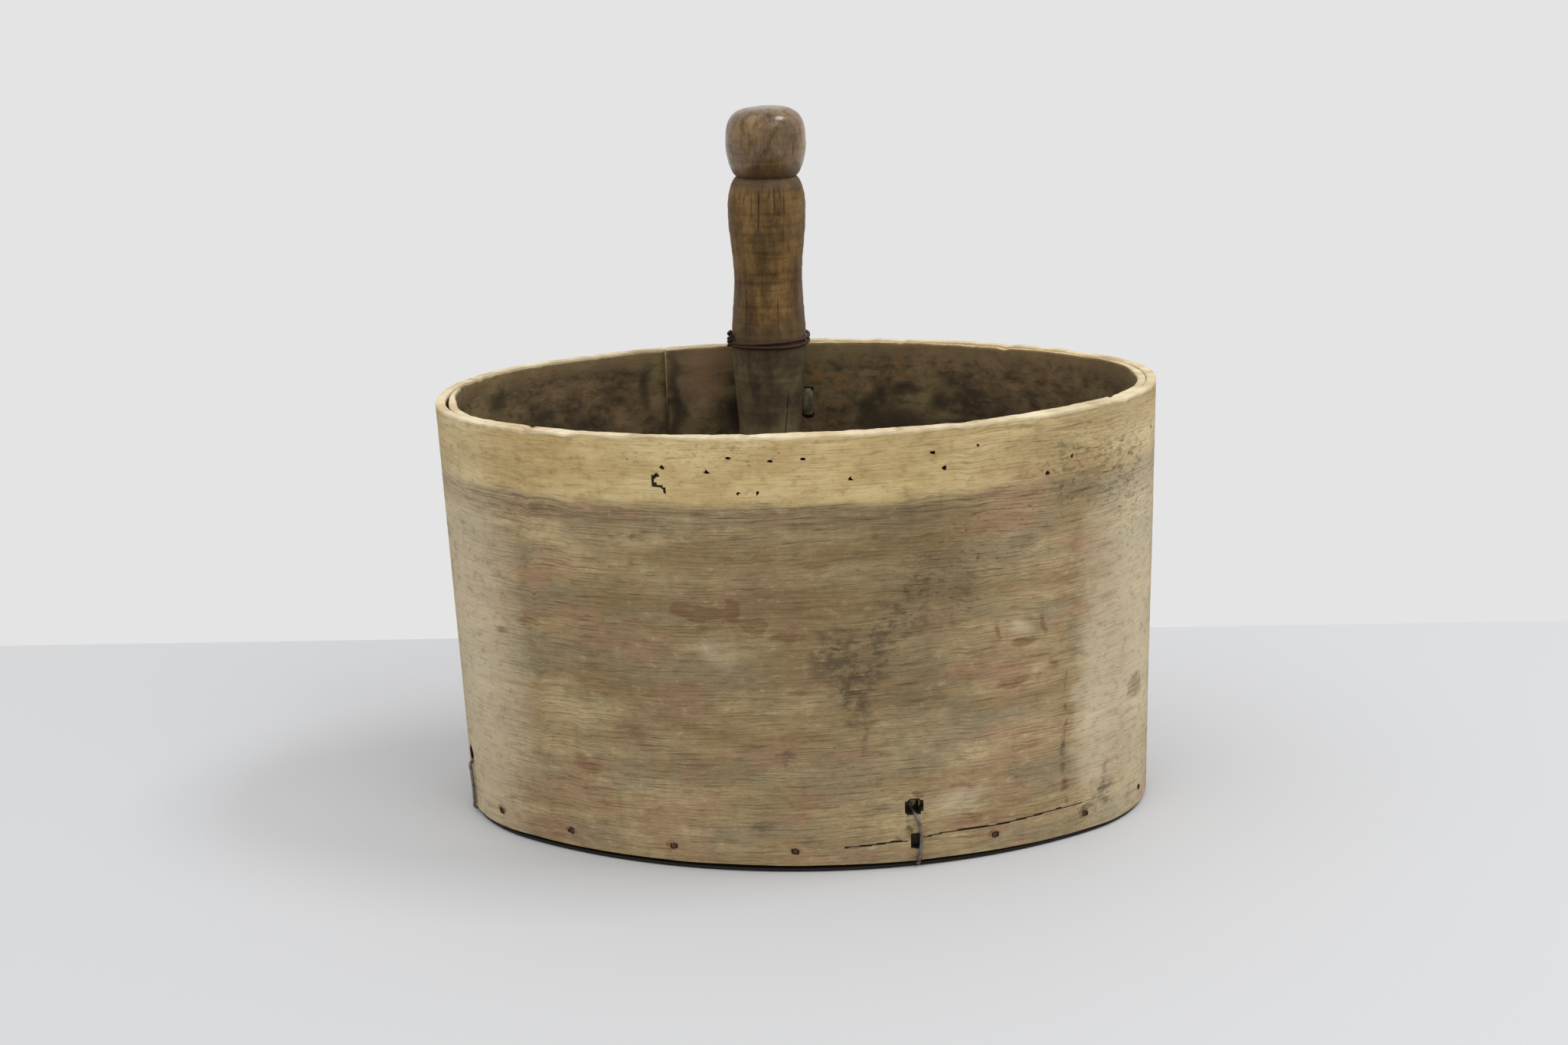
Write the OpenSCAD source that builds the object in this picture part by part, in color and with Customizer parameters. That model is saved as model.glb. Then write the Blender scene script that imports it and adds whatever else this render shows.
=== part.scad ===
// Oval bentwood feed scoop with an upright turned handle.
// Two bent bands stand round a bottom board. The handle stands inside the back wall.
// Frame: +Z up, origin under the middle of the scoop, front at -Y, handle at the back (+Y).

/* [Oval wall] */
// Outside length of the oval, measured at the rim
rim_length = 323; // [280:1:400]
// Outside width of the oval, measured at the rim
rim_width = 223; // [205:1:280]
// Outside radius of the two round ends, measured at the rim
end_radius = 85; // [72:1:96]
// Height of the wall along its own slope, from the table to the rim
wall_height = 192; // [150:1:260]
// How far the wall draws in from the rim to the table, all round
wall_draw = 4.9; // [1:0.1:10]
// Angle that the old wall leans over towards -X
wall_lean = 1.17; // [0:0.05:2]
// How far the worn inner band stands below the outer band at the rim
rim_wear = 0.6; // [0.2:0.1:1.2]

/* [Bands] */
// Thickness of the outer band
outer_band_t = 4.4; // [3.5:0.1:6]
// Thickness of the inner band
inner_band_t = 3.9; // [3:0.1:6]
// Gap between two pieces of wood that lie together
wood_gap = 0.2; // [0.1:0.05:0.4]
// Direction of the outer band's scarf joint, from +X round to +Y
scarf_dir = 88.3; // [80:0.1:89]
// Angle between the scarf cut and the wall
scarf_angle = 12; // [11:0.5:20]
// Direction of the inner band's square end
square_end_dir = 108; // [106:0.5:120]
// Direction of the inner band's thin end
thin_end_dir = 164; // [150:0.5:170]
// Length of the inner band's thinned stretch, as an angle of the round end
thin_end_run = 23; // [18:0.5:30]

/* [Bottom board] */
// Thickness of the bottom board
board_t = 16; // [12:0.5:24]
// How far the board stands below the outer band
board_proud = 1.8; // [1.6:0.1:3]

/* [Handle] */
// Place of the handle's axis along X, from the middle of the board
handle_x = -15.8; // [-25:0.1:-13]
// Depth of the flat that the wall gives the handle at the rim
handle_flat = 1.0; // [0.5:0.1:2]
// Diameter of the foot
foot_d = 29; // [24:0.5:34]
// Diameter of the shank inside the scoop
shank_d = 30.6; // [24:0.2:34]
// Height of the shank's thinnest place
shank_z = 150; // [110:1:170]
// Diameter where the wire binds the handle
bound_d = 35.8; // [32:0.2:40]
// Height of the wire binding above the rim's middle
bound_rise = 5.2; // [4.5:0.1:9]
// Diameter of the grip's waist
waist_d = 32.6; // [26:0.2:36]
// Height of the waist above the binding
waist_rise = 30; // [20:1:40]
// Diameter of the shoulder under the neck
shoulder_d = 37; // [32:0.5:44]
// Height of the shoulder above the waist
shoulder_rise = 33; // [20:1:45]
// Diameter of the neck groove
neck_d = 28.2; // [22:0.2:32]
// Height of the neck above the shoulder
neck_rise = 15; // [8:1:24]
// Diameter of the knob
knob_d = 38; // [32:0.5:46]
// Height of the knob's widest place above the neck
knob_rise = 15; // [8:1:20]
// Height of the knob's top above its widest place
knob_top = 17.5; // [10:0.5:24]

/* [Wire] */
// Diameter of the wire in the four bottom ties
tie_wire_d = 1.4; // [1:0.1:1.4]
// Height of each tie's hole in the wall
tie_hole_z = 27.4; // [25:0.2:34]
// Diameter of the worn holes that the ties pass through
tie_hole_d = 7; // [4:0.2:8]
// Diameter of the wire in the handle's binding
binding_wire_d = 1.6; // [1:0.1:2]
// Angle that the binding slopes down towards -X
binding_slope = 3; // [0:0.5:4]

/* [Nails] */
// Height of the ring of nails round the board
nail_z = 9.8; // [7:0.2:12]
// Diameter of a board nail's shank
nail_d = 2; // [1.5:0.1:2.5]
// Diameter of a board nail's head
nail_head_d = 3.4; // [3:0.1:5]
// Length of a board nail
nail_length = 24; // [16:1:34]
// Width of the square hole that a lost nail has left
lost_nail_w = 4.6; // [3:0.2:6]
// Height of the square hole that a lost nail has left
lost_nail_h = 5.6; // [3:0.2:7]
// Diameter of a handle nail's shank
handle_nail_d = 3; // [2:0.1:4]
// Diameter of a handle nail's head
handle_nail_head_d = 7; // [5:0.2:9]
// Length of a handle nail
handle_nail_length = 27; // [20:1:32]
// Height of the lower handle nail
handle_nail_low_z = 62; // [45:1:90]
// Height of the upper handle nail
handle_nail_high_z = 172; // [130:1:175]

/* [Root stitches] */
// Width of one stitch
stitch_w = 4.8; // [3:0.2:6]
// Height of one stitch
stitch_h = 14; // [10:0.5:20]
// How far a stitch stands off the wood
stitch_proud = 2; // [1:0.1:3]
// Height of the top stitch's middle
stitch_top_z = 162; // [140:1:170]
// Distance from one stitch to the next
stitch_pitch = 36; // [26:1:40]

/* [Hidden] */
$fn = 96;
// Clearance between a fastener and its hole
fit_gap = 0.05;
// Distance that a cut runs past the wood it cuts
past = 1;
// Number of outline steps in each stretch of the handle
handle_steps = 8;
// Roundness of the knob's underside and top, 2 for an ellipse and more for a squarer shape
knob_under_power = 1.6;
knob_top_power = 3;

// Four arcs make the oval: two round ends and two long sides
half_width = rim_width / 2;
end_x = rim_length / 2 - end_radius;
side_off = (pow(end_x, 2) - pow(half_width - end_radius, 2)) / (2 * (half_width - end_radius));
side_radius = half_width + side_off;
join_dir = atan2(side_off, end_x);
wall_slope = atan2(wall_draw, wall_height);

// Layers of the wall, measured inwards from its outer face
inner_band_off = outer_band_t + wood_gap;
wall_t = inner_band_off + inner_band_t;
// How far cuts reach past everything, sideways and below
wide = rim_length;
below = 8;

// The whole scoop is moved so that its box is centred on the origin
center_x = wall_height * sin(wall_lean);
center_y = (draw_at(stitch_top_z + stitch_h / 2) - stitch_proud) / 2;
inner_foot_z = board_t + wood_gap;

// Handle heights, and its axis as far back as the wall lets it stand
bound_z = wall_height + bound_rise;
waist_z = bound_z + waist_rise;
shoulder_z = waist_z + shoulder_rise;
neck_z = shoulder_z + neck_rise;
knob_z = neck_z + knob_rise;
handle_wall_x = handle_x + wall_height * sin(wall_lean);
handle_wall_y = sqrt(pow(side_radius - wall_t, 2) - pow(handle_wall_x, 2)) - side_off;
handle_y = handle_wall_y - bound_d / 2 + handle_flat;

// Directions of the nails, chosen by eye round the board. One more is lost, at the front tie.
nail_dirs = [-92, -67, -53.5, -25, 8, 41, 60, 73, 86.5, 98, 113, 126, 154, 187, 220, 239, 253];
lost_nail_dir = -77.3;
nail_head_t = nail_d / 2;

// Direction of each tie, and how far its outer strand bows sideways
tie_names = ["front", "right", "back", "left"];
tie_dirs = [-77.5, 20, 103.5, 197.3];
tie_bows = [2.6, -1, 1.5, 3.2];
tie_low_z = board_proud / 2;
tie_side_off = tie_wire_d / 2 + wood_gap;
tie_in_off = -(wall_t + tie_wire_d / 2 + wood_gap);
tie_cut_d = tie_wire_d + 2 * wood_gap;
// The two ends of a tie are twisted together into a short, thicker stub inside
tie_stub = 8;
tie_stub_d = 1.5 * tie_wire_d;
// The same for the handle's binding, with the stub's bends measured from the side of its rings
binding_rise = 0.6 * binding_wire_d;
binding_stub_d = 0.8 * binding_wire_d;
binding_stub_bends = [[-1.5, -2, 5], [-0.5, -3, 8]];
// Bends in a wire are a little fatter than its straight runs
wire_knuckle = 1.1;

stitch_count = 4;
stitch_hole_d = 3;
stitch_reach = (stitch_h - stitch_w) / 2;

// How far the scarf joint's slit reaches each way along the wall
scarf_reach = 25;
// How far the two outlines that clear the inner band's open stretch reach in and out from the wall
open_in = 55;
open_out = 60;
// The same beside the square end, where the outline stays close to the wall
open_in_square = 20;
open_out_square = 30;
open_out_thin = 20;
// Angle by which the two outlines overlap, and by which the thin end's cut starts early
open_overlap = 4;
thin_cut_lead = 14;

// ---- Places on the wall ----

// How far the wall's outer face is drawn in at height z
function draw_at(z) = wall_draw * (1 - z / wall_height);

// Whether a direction points into one of the long sides
function in_side(dir) = abs(sin(dir)) > sin(join_dir);

// Point of the leaning wall in plan, for an outward direction and a depth below its face
function wall_point(dir, z, depth) =
    in_side(dir)
    ? [0, -sign(sin(dir)) * side_off] + (side_radius - draw_at(z) - depth) * [cos(dir), sin(dir)]
    : [sign(cos(dir)) * end_x, 0] + (end_radius - draw_at(z) - depth) * [cos(dir), sin(dir)];

// Height along the leaning wall that lies at height z above the table
function lean_z(dir, z) = (z - wall_point(dir, z, 0)[0] * sin(wall_lean)) / cos(wall_lean);

// Upright position of a wall place: height z above the table, out from the face, and sideways
function place(dir, z, out, side) =
    let (p = wall_point(dir, lean_z(dir, z), -out) + side * [-sin(dir), cos(dir)])
    [p[0] * cos(wall_lean) - lean_z(dir, z) * sin(wall_lean), p[1], z];

// Direction of the wall just behind the handle at height z
function handle_dir(z) = acos((handle_x + z * sin(wall_lean)) / (side_radius - draw_at(z)));

module leaned() {
    rotate([0, -wall_lean, 0]) children();
}

module centered() {
    translate([center_x, center_y, 0]) children();
}

// Puts its children on the wall's outer face: X points out of the wall, Z up along it
module on_wall(dir, z) {
    wall_z = lean_z(dir, z);
    p = wall_point(dir, wall_z, 0);
    leaned() translate([p[0], p[1], wall_z]) rotate([0, 0, dir]) rotate([0, wall_slope, 0]) children();
}

// A rod that lies along the wall's normal, from one depth to a deeper one
module rod_in(from_depth, to_depth, d) {
    translate([-to_depth, 0, 0]) rotate([0, 90, 0]) cylinder(h = to_depth - from_depth, d = d);
}

// ---- Oval solids ----

// A round piece of the oval, drawn in with the wall, at a given depth below its face
module wall_cone(x, y, radius, depth, z0, z1) {
    translate([x, y, z0])
        cylinder(h = z1 - z0, r1 = radius - depth - draw_at(z0), r2 = radius - depth - draw_at(z1));
}

// The part of the plan in which the two long sides make the outline
module side_zone(z0, z1) {
    reach = rim_length;
    join_corner = [end_x + reach * cos(join_dir), reach * sin(join_dir)];
    translate([0, 0, z0]) linear_extrude(z1 - z0) polygon([
        [end_x, 0], join_corner, [-join_corner[0], join_corner[1]],
        [-end_x, 0], -join_corner, [join_corner[0], -join_corner[1]]
    ]);
}

// Everything inside the wall's outer face and a given depth below it
module oval(depth, z0, z1) {
    intersection() {
        wall_cone(0, -side_off, side_radius, depth, z0, z1);
        wall_cone(0, side_off, side_radius, depth, z0, z1);
        side_zone(z0, z1);
    }
    for (end = [-1, 1]) wall_cone(end * end_x, 0, end_radius, depth, z0, z1);
}

module oval_band(near, far, z0, z1) {
    difference() {
        oval(near, z0, z1);
        oval(far, z0 - past, z1 + past);
    }
}

// ---- Holes that several pieces share ----

module tie_wall_holes() {
    for (dir = tie_dirs) on_wall(dir, tie_hole_z) rod_in(-past, wall_t + past, tie_hole_d);
}

module board_nail_holes() {
    for (dir = nail_dirs) on_wall(dir, nail_z) {
        rod_in(-past, nail_length + past, nail_d + 2 * fit_gap);
        rod_in(-past, nail_head_t + fit_gap, nail_head_d + 2 * fit_gap);
    }
}

module lost_nail_hole() {
    depth = nail_length / 2;
    on_wall(lost_nail_dir, nail_z + 2 * fit_gap) translate([-depth, -lost_nail_w / 2, -lost_nail_h / 2])
        cube([depth + past, lost_nail_w, lost_nail_h]);
}

module handle_nail_holes() {
    for (z = [handle_nail_low_z, handle_nail_high_z])
        on_wall(handle_dir(z), z) rod_in(-past, handle_nail_length + past, handle_nail_d + 2 * fit_gap);
}

function stitch_z(i) = stitch_top_z - (i - 1) * stitch_pitch;

module stitch_holes() {
    for (i = [1 : stitch_count]) on_wall(scarf_dir, stitch_z(i)) for (end = [-1, 1])
        translate([0, 0, end * stitch_reach]) rod_in(-past, wall_t + past, stitch_hole_d + 2 * fit_gap);
}

// ---- Bands and board ----

// Removes everything lower than height z
module cut_below(z) {
    translate([-wide, -wide, z - wide]) cube([2 * wide, 2 * wide, wide]);
}

// The slit between the outer band's two overlapping ends
module scarf_cut() {
    on_wall(scarf_dir, wall_height / 2)
        translate([-outer_band_t / 2, 0, 0]) rotate([0, 0, 90 - scarf_angle])
            translate([-scarf_reach, -wood_gap / 2, -wall_height])
                cube([2 * scarf_reach, wood_gap, 2 * wall_height]);
}

module outer_band() {
    color("burlywood") centered() difference() {
        leaned() oval_band(0, outer_band_t, -below, wall_height);
        cut_below(board_proud);
        scarf_cut();
        tie_wall_holes();
        board_nail_holes();
        lost_nail_hole();
        handle_nail_holes();
        stitch_holes();
    }
}

// Removes the stretch of wall that the inner band doesn't reach
module inner_band_gap() {
    near = inner_band_off - past;
    far = wall_t + past / 2;
    mid_dir = (square_end_dir + thin_end_dir) / 2;
    full_dir = thin_end_dir + thin_end_run;
    top = wall_height;
    square_cut = [
        wall_point(square_end_dir, top, open_in_square),
        wall_point(square_end_dir, top, -open_out_square),
        wall_point(mid_dir, top, -open_out),
        wall_point(mid_dir, top, open_in)
    ];
    thin_cut = [
        wall_point(mid_dir - open_overlap, top, open_in),
        wall_point(mid_dir - open_overlap, top, -open_out),
        wall_point(thin_end_dir - thin_cut_lead, top, -open_out_thin),
        wall_point(thin_end_dir, top, near),
        wall_point(full_dir, top, far),
        wall_point(full_dir, top, open_in)
    ];
    leaned() {
        translate([0, 0, -below]) linear_extrude(wall_height + 2 * below) polygon(square_cut);
        translate([0, 0, top]) rotate([0, -wall_slope, 0])
            translate([0, 0, -top - below]) linear_extrude(wall_height + 2 * below) polygon(thin_cut);
    }
}

module inner_band() {
    color("tan") centered() difference() {
        leaned() oval_band(inner_band_off, wall_t, -below, wall_height - rim_wear);
        cut_below(inner_foot_z);
        inner_band_gap();
        tie_wall_holes();
        handle_nail_holes();
        stitch_holes();
    }
}

module bottom_board() {
    color("peru") centered() difference() {
        intersection() {
            leaned() oval(outer_band_t + wood_gap, -below, board_t + below);
            translate([-wide, -wide, 0]) cube([2 * wide, 2 * wide, board_t]);
        }
        board_nail_holes();
        lost_nail_hole();
        for (i = [0 : len(tie_dirs) - 1]) tie_board_cut(i);
    }
}

// ---- Handle ----

function ease(a, b, t) = a + (b - a) * (1 - cos(180 * t)) / 2;

// One smooth stretch of the handle's outline between two heights
function stretch(z0, r0, z1, r1) =
    [for (i = [0 : handle_steps - 1]) let (t = i / handle_steps)
        [ease(r0, r1, t), z0 + (z1 - z0) * t]];

// A quarter round from the shoulder in to the neck
function shoulder_over() =
    [for (i = [0 : handle_steps - 1]) let (a = 90 * i / handle_steps)
        [neck_d / 2 + (shoulder_d - neck_d) / 2 * cos(a), shoulder_z + neck_rise * sin(a)]];

// The bowl-shaped stretch from the neck out to the knob's widest place
function knob_under() =
    [for (i = [0 : handle_steps - 1]) let (a = 90 * i / handle_steps)
        [neck_d / 2 + (knob_d - neck_d) / 2 * pow(sin(a), 2 / knob_under_power),
         knob_z - knob_rise * pow(cos(a), 2 / knob_under_power)]];

// The squarish dome of the knob's top
function knob_over() =
    [for (i = [0 : handle_steps]) let (a = 90 * i / handle_steps)
        [knob_d / 2 * pow(cos(a), 2 / knob_top_power),
         knob_z + knob_top * pow(sin(a), 2 / knob_top_power)]];

module handle_round() {
    translate([handle_x, handle_y, 0]) rotate_extrude() polygon(concat(
        [[0, inner_foot_z]],
        stretch(inner_foot_z, foot_d / 2, shank_z, shank_d / 2),
        stretch(shank_z, shank_d / 2, bound_z, bound_d / 2),
        stretch(bound_z, bound_d / 2, waist_z, waist_d / 2),
        stretch(waist_z, waist_d / 2, shoulder_z, shoulder_d / 2),
        shoulder_over(),
        knob_under(),
        knob_over()
    ));
}

// The room that the wall leaves for the handle
module handle_room() {
    leaned() oval(wall_t + wood_gap, 0, wall_height + past);
    translate([-wide, -wide, wall_height + wood_gap]) cube([2 * wide, 2 * wide, wide]);
}

module handle() {
    color("sienna") centered() difference() {
        intersection() {
            handle_round();
            handle_room();
        }
        handle_nail_holes();
    }
}

module handle_nail(z) {
    head_t = handle_nail_d / 2;
    color("dimgray") centered() on_wall(handle_dir(z), z) {
        rod_in(-fit_gap, handle_nail_length, handle_nail_d);
        rod_in(-fit_gap - head_t, -fit_gap, handle_nail_head_d);
    }
}

// ---- Wire, nails and stitches ----

module rod(a, b, d) {
    along = b - a;
    translate(a) rotate([0, acos(along[2] / norm(along)), atan2(along[1], along[0])])
        cylinder(h = norm(along), d = d);
}

module wire_through(points, d) {
    for (i = [0 : len(points) - 2]) rod(points[i], points[i + 1], d);
    for (p = points) translate(p) sphere(d = d * wire_knuckle);
}

// The hole that a tie goes up through the board, and its groove under the board's edge
module tie_board_cut(i) {
    dir = tie_dirs[i];
    groove_w = tie_cut_d + abs(tie_bows[i]);
    low = place(dir, -past, tie_in_off, 0);
    rod(low, place(dir, tie_hole_z, tie_in_off, 0), tie_cut_d);
    translate(low) rotate(dir) translate([0, -groove_w / 2, 0])
        cube([wall_t * 2, groove_w, board_proud + past]);
}

// The closed run of one tie: down outside, under the band, up through the board, out through the wall
module wire_tie(i) {
    dir = tie_dirs[i];
    top_out = place(dir, tie_hole_z, tie_side_off, 0);
    bow = place(dir, tie_hole_z / 2, tie_side_off, tie_bows[i]);
    low_out = place(dir, tie_low_z, tie_side_off, tie_bows[i] / 2);
    low_in = place(dir, tie_low_z, tie_in_off, 0);
    top_in = place(dir, tie_hole_z, tie_in_off, 0);
    stub = place(dir, tie_hole_z + tie_stub / 2, tie_in_off - tie_stub, tie_stub / 4);
    color("slategray") centered() {
        wire_through([top_out, bow, low_out, low_in, top_in, top_out], tie_wire_d);
        wire_through([top_in, stub], tie_stub_d);
    }
}

module board_nail(dir) {
    color("saddlebrown") centered() on_wall(dir, nail_z) {
        rod_in(0, nail_length, nail_d);
        rod_in(0, nail_head_t, nail_head_d);
    }
}

// Two rings of wire round the handle, with their ends twisted together at the left
module handle_binding() {
    ring_r = bound_d / 2 + binding_wire_d / 2 + wood_gap;
    side = [-ring_r, 0, 0];
    color("darkslategray") centered()
    translate([handle_x, handle_y, bound_z]) rotate([0, -binding_slope, 0]) {
        for (end = [-1, 1]) translate([0, 0, end * binding_rise])
            rotate_extrude() translate([ring_r, 0]) circle(d = binding_wire_d);
        wire_through([
            side - [0, 0, binding_rise], side + [0, 0, binding_rise],
            side + binding_stub_bends[0], side + binding_stub_bends[1]
        ], binding_stub_d);
    }
}

// One loop of root: a strap outside, a strap inside, and two strands through the wall
module root_stitch(i) {
    color("gainsboro") centered() on_wall(scarf_dir, stitch_z(i)) {
        for (end = [-1, 1]) translate([0, 0, end * stitch_reach])
            rod_in(-stitch_proud / 2, wall_t + stitch_proud / 2, stitch_hole_d);
        stitch_strap();
        translate([-wall_t, 0, 0]) mirror([1, 0, 0]) stitch_strap();
    }
}

// A flattened strap of root that lies on a face
module stitch_strap() {
    middle = stitch_proud - stitch_w / 2;
    intersection() {
        translate([middle, 0, 0]) {
            translate([0, 0, -stitch_reach]) cylinder(h = 2 * stitch_reach, d = stitch_w);
            for (end = [-1, 1]) translate([0, 0, end * stitch_reach]) sphere(d = stitch_w);
        }
        translate([wood_gap, -stitch_w, -stitch_h]) cube([stitch_proud, 2 * stitch_w, 2 * stitch_h]);
    }
}

outer_band();
inner_band();
bottom_board();
handle();
handle_binding();
handle_nail(handle_nail_low_z);  // handle_nail_low
handle_nail(handle_nail_high_z);  // handle_nail_high
for (i = [0 : len(tie_names) - 1])
    wire_tie(i);
for (i = [1 : stitch_count])
    root_stitch(i);
for (i = [1 : len(nail_dirs)])
    board_nail(nail_dirs[i - 1]);
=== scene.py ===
"""An oval bentwood feed scoop with an upright turned handle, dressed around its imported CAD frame.

Lengths are metres. The front of the scoop faces -Y and the handle stands at the back.
"""
import math

import bmesh
import bpy
import numpy as np
from mathutils import Matrix, Vector


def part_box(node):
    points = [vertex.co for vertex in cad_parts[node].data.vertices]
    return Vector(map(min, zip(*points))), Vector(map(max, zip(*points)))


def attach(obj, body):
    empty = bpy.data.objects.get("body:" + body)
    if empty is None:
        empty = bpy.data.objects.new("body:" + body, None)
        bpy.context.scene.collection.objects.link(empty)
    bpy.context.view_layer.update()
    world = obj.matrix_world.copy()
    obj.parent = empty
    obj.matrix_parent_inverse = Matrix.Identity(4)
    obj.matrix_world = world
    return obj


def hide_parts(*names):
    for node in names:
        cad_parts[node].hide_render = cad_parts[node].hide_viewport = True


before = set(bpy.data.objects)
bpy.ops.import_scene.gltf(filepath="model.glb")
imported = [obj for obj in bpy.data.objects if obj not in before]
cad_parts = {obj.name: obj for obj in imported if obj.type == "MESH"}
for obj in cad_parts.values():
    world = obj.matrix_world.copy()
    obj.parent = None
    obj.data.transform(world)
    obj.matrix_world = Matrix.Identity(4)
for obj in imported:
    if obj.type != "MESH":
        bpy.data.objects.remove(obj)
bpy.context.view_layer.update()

MM = 0.001

# ---- The wall's shape, as the CAD has it ----

band_low, band_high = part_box("outer_band")
board_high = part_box("bottom_board")[1]
inner_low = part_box("inner_band")[0]
handle_low, handle_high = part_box("handle")

RIM_LENGTH = band_high.x - band_low.x
RIM_WIDTH = band_high.y - band_low.y
END_RADIUS = 85 * MM
WALL_HEIGHT = 192 * MM
WALL_DRAW = 4.9 * MM
WALL_LEAN = math.radians(1.17)
OUTER_T = 4.4 * MM
INNER_T = 3.9 * MM
WOOD_GAP = 0.2 * MM
INNER_OFF = OUTER_T + WOOD_GAP
WALL_T = INNER_OFF + INNER_T
BOARD_PROUD = band_low.z
BOARD_TOP = board_high.z

END_X = RIM_LENGTH / 2 - END_RADIUS
HALF_WIDTH = RIM_WIDTH / 2
SIDE_OFF = (END_X ** 2 - (HALF_WIDTH - END_RADIUS) ** 2) / (2 * (HALF_WIDTH - END_RADIUS))
SIDE_RADIUS = HALF_WIDTH + SIDE_OFF
JOIN_DIR = math.atan2(SIDE_OFF, END_X)
CENTER_X = WALL_HEIGHT * math.sin(WALL_LEAN)
CENTER_Y = (band_low.y + band_high.y) / 2

SCARF_DIR = 88.3
SQUARE_END_DIR = 108
THIN_END_DIR = 164
THIN_END_RUN = 23
TIE_DIRS = {"front": -77.5, "right": 20, "back": 103.5, "left": 197.3}
TIE_BOWS = {"front": 2.6 * MM, "right": -1 * MM, "back": 1.5 * MM, "left": 3.2 * MM}
TIE_HOLE_Z = 27.4 * MM
TIE_HOLE_D = 7.8 * MM
TIE_WIRE_D = 1.5 * MM
TIE_LOW_Z = 1.45 * MM
LOST_NAIL_DIR = -77.3
NAIL_Z = 9.8 * MM
NAIL_LENGTH = 24 * MM
NAIL_DIRS = [-92, -67, -53.5, -25, 8, 41, 60, 73, 86.5, 98, 113, 126, 154, 187, 220, 239, 253]
STITCH_HEIGHTS = [z * MM for z in (162, 126, 90, 54)]
STITCH_REACH = 5.9 * MM
STITCH_WIDTH = 4.7 * MM
STITCH_PROUD = 2 * MM
HANDLE_NAIL_HEIGHTS = [62 * MM, 172 * MM]
HANDLE_X = (handle_low.x + handle_high.x) / 2
HANDLE_Y = handle_high.y - (handle_high.x - handle_low.x) / 2
BOUND_Z = WALL_HEIGHT + 5.2 * MM
NECK_Z = BOUND_Z + 78 * MM


def draw_at(z):
    """How far the wall is drawn in at height z along it."""
    return WALL_DRAW * (1 - z / WALL_HEIGHT)


def arc_of(direction):
    """Centre (x, y) and radius of the arc that faces an outward direction in degrees."""
    a = math.radians(direction)
    if abs(math.sin(a)) > math.sin(JOIN_DIR):
        return 0.0, -math.copysign(SIDE_OFF, math.sin(a)), SIDE_RADIUS
    return math.copysign(END_X, math.cos(a)), 0.0, END_RADIUS


def to_frame(x, y, z):
    """From the leaning wall's own coordinates to the frame. Works on numbers and arrays."""
    c, s = math.cos(WALL_LEAN), math.sin(WALL_LEAN)
    return x * c - z * s + CENTER_X, y + CENTER_Y, x * s + z * c


def lean_z(direction, z):
    """Height along the leaning wall that lies at height z above the table."""
    cx, _, radius = arc_of(direction)
    x = cx + (radius - draw_at(z)) * math.cos(math.radians(direction))
    return (z - x * math.sin(WALL_LEAN)) / math.cos(WALL_LEAN)


def place(direction, z, out=0.0, side=0.0):
    """A point at height z above the table, a distance out from the wall's face, moved sideways."""
    a = math.radians(direction)
    wall_z = lean_z(direction, z)
    cx, cy, radius = arc_of(direction)
    reach = radius - draw_at(wall_z) + out
    x = cx + reach * math.cos(a) - side * math.sin(a)
    y = cy + reach * math.sin(a) + side * math.cos(a)
    px, py, _ = to_frame(x, y, wall_z)
    return Vector((px, py, z))


def outward(direction):
    return Vector((math.cos(math.radians(direction)), math.sin(math.radians(direction)), 0))


def sideways(direction):
    """Along the wall, a quarter turn on from outward."""
    out = outward(direction)
    return Vector((-out.y, out.x, 0))


class Outline:
    """Distance along the rim, from the scarf joint round to the left, against outward direction."""

    def __init__(self):
        join = math.degrees(JOIN_DIR)
        stops = [SCARF_DIR, 180 - join, 180 + join, 360 - join, 360 + join, 360 + SCARF_DIR]
        radii = [SIDE_RADIUS, END_RADIUS, SIDE_RADIUS, END_RADIUS, SIDE_RADIUS]
        lengths = [math.radians(b - a) * r for a, b, r in zip(stops, stops[1:], radii)]
        self.stops = np.array(stops)
        self.distance = np.concatenate([[0], np.cumsum(lengths)])
        self.length = self.distance[-1]

    def direction(self, along):
        laps = np.floor(np.asarray(along) / self.length)
        return np.interp(along - laps * self.length, self.distance, self.stops) + 360 * laps

    def along(self, direction):
        turned = (direction - SCARF_DIR) % 360 + SCARF_DIR
        return float(np.interp(turned, self.stops, self.distance))

    def apart(self, along, direction):
        """Distances along the rim, either way, from a direction's place on it."""
        return (along - self.along(direction) + self.length / 2) % self.length - self.length / 2


outline = Outline()

# ---- Noise for shapes ----


def lattice(u, v, cell_u, cell_v, seed):
    """Smooth noise from -1 to 1 over arrays u and v, with cells of the given size."""
    x, y = u / cell_u, v / cell_v
    xi, yi = np.floor(x).astype(int), np.floor(y).astype(int)
    fx, fy = x - xi, y - yi
    fx, fy = fx * fx * (3 - 2 * fx), fy * fy * (3 - 2 * fy)
    xi, yi = xi - xi.min(), yi - yi.min()
    grid = np.random.default_rng(seed).uniform(-1, 1, (xi.max() + 2, yi.max() + 2))
    low = grid[xi, yi] * (1 - fx) + grid[xi + 1, yi] * fx
    high = grid[xi, yi + 1] * (1 - fx) + grid[xi + 1, yi + 1] * fx
    return low * (1 - fy) + high * fy


def notch(u, centre, half_width):
    """A smooth bump of height 1 around a centre."""
    t = np.clip(1 - np.abs(u - centre) / half_width, 0, 1)
    return t * t * (3 - 2 * t)


# ---- Mesh helpers ----


def link(name, mesh):
    obj = bpy.data.objects.new(name, mesh)
    bpy.context.scene.collection.objects.link(obj)
    return obj


def smooth(obj, angle=40):
    mesh = obj.data
    mesh.shade_smooth()
    mesh.set_sharp_from_angle(angle=math.radians(angle))
    return obj


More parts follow.
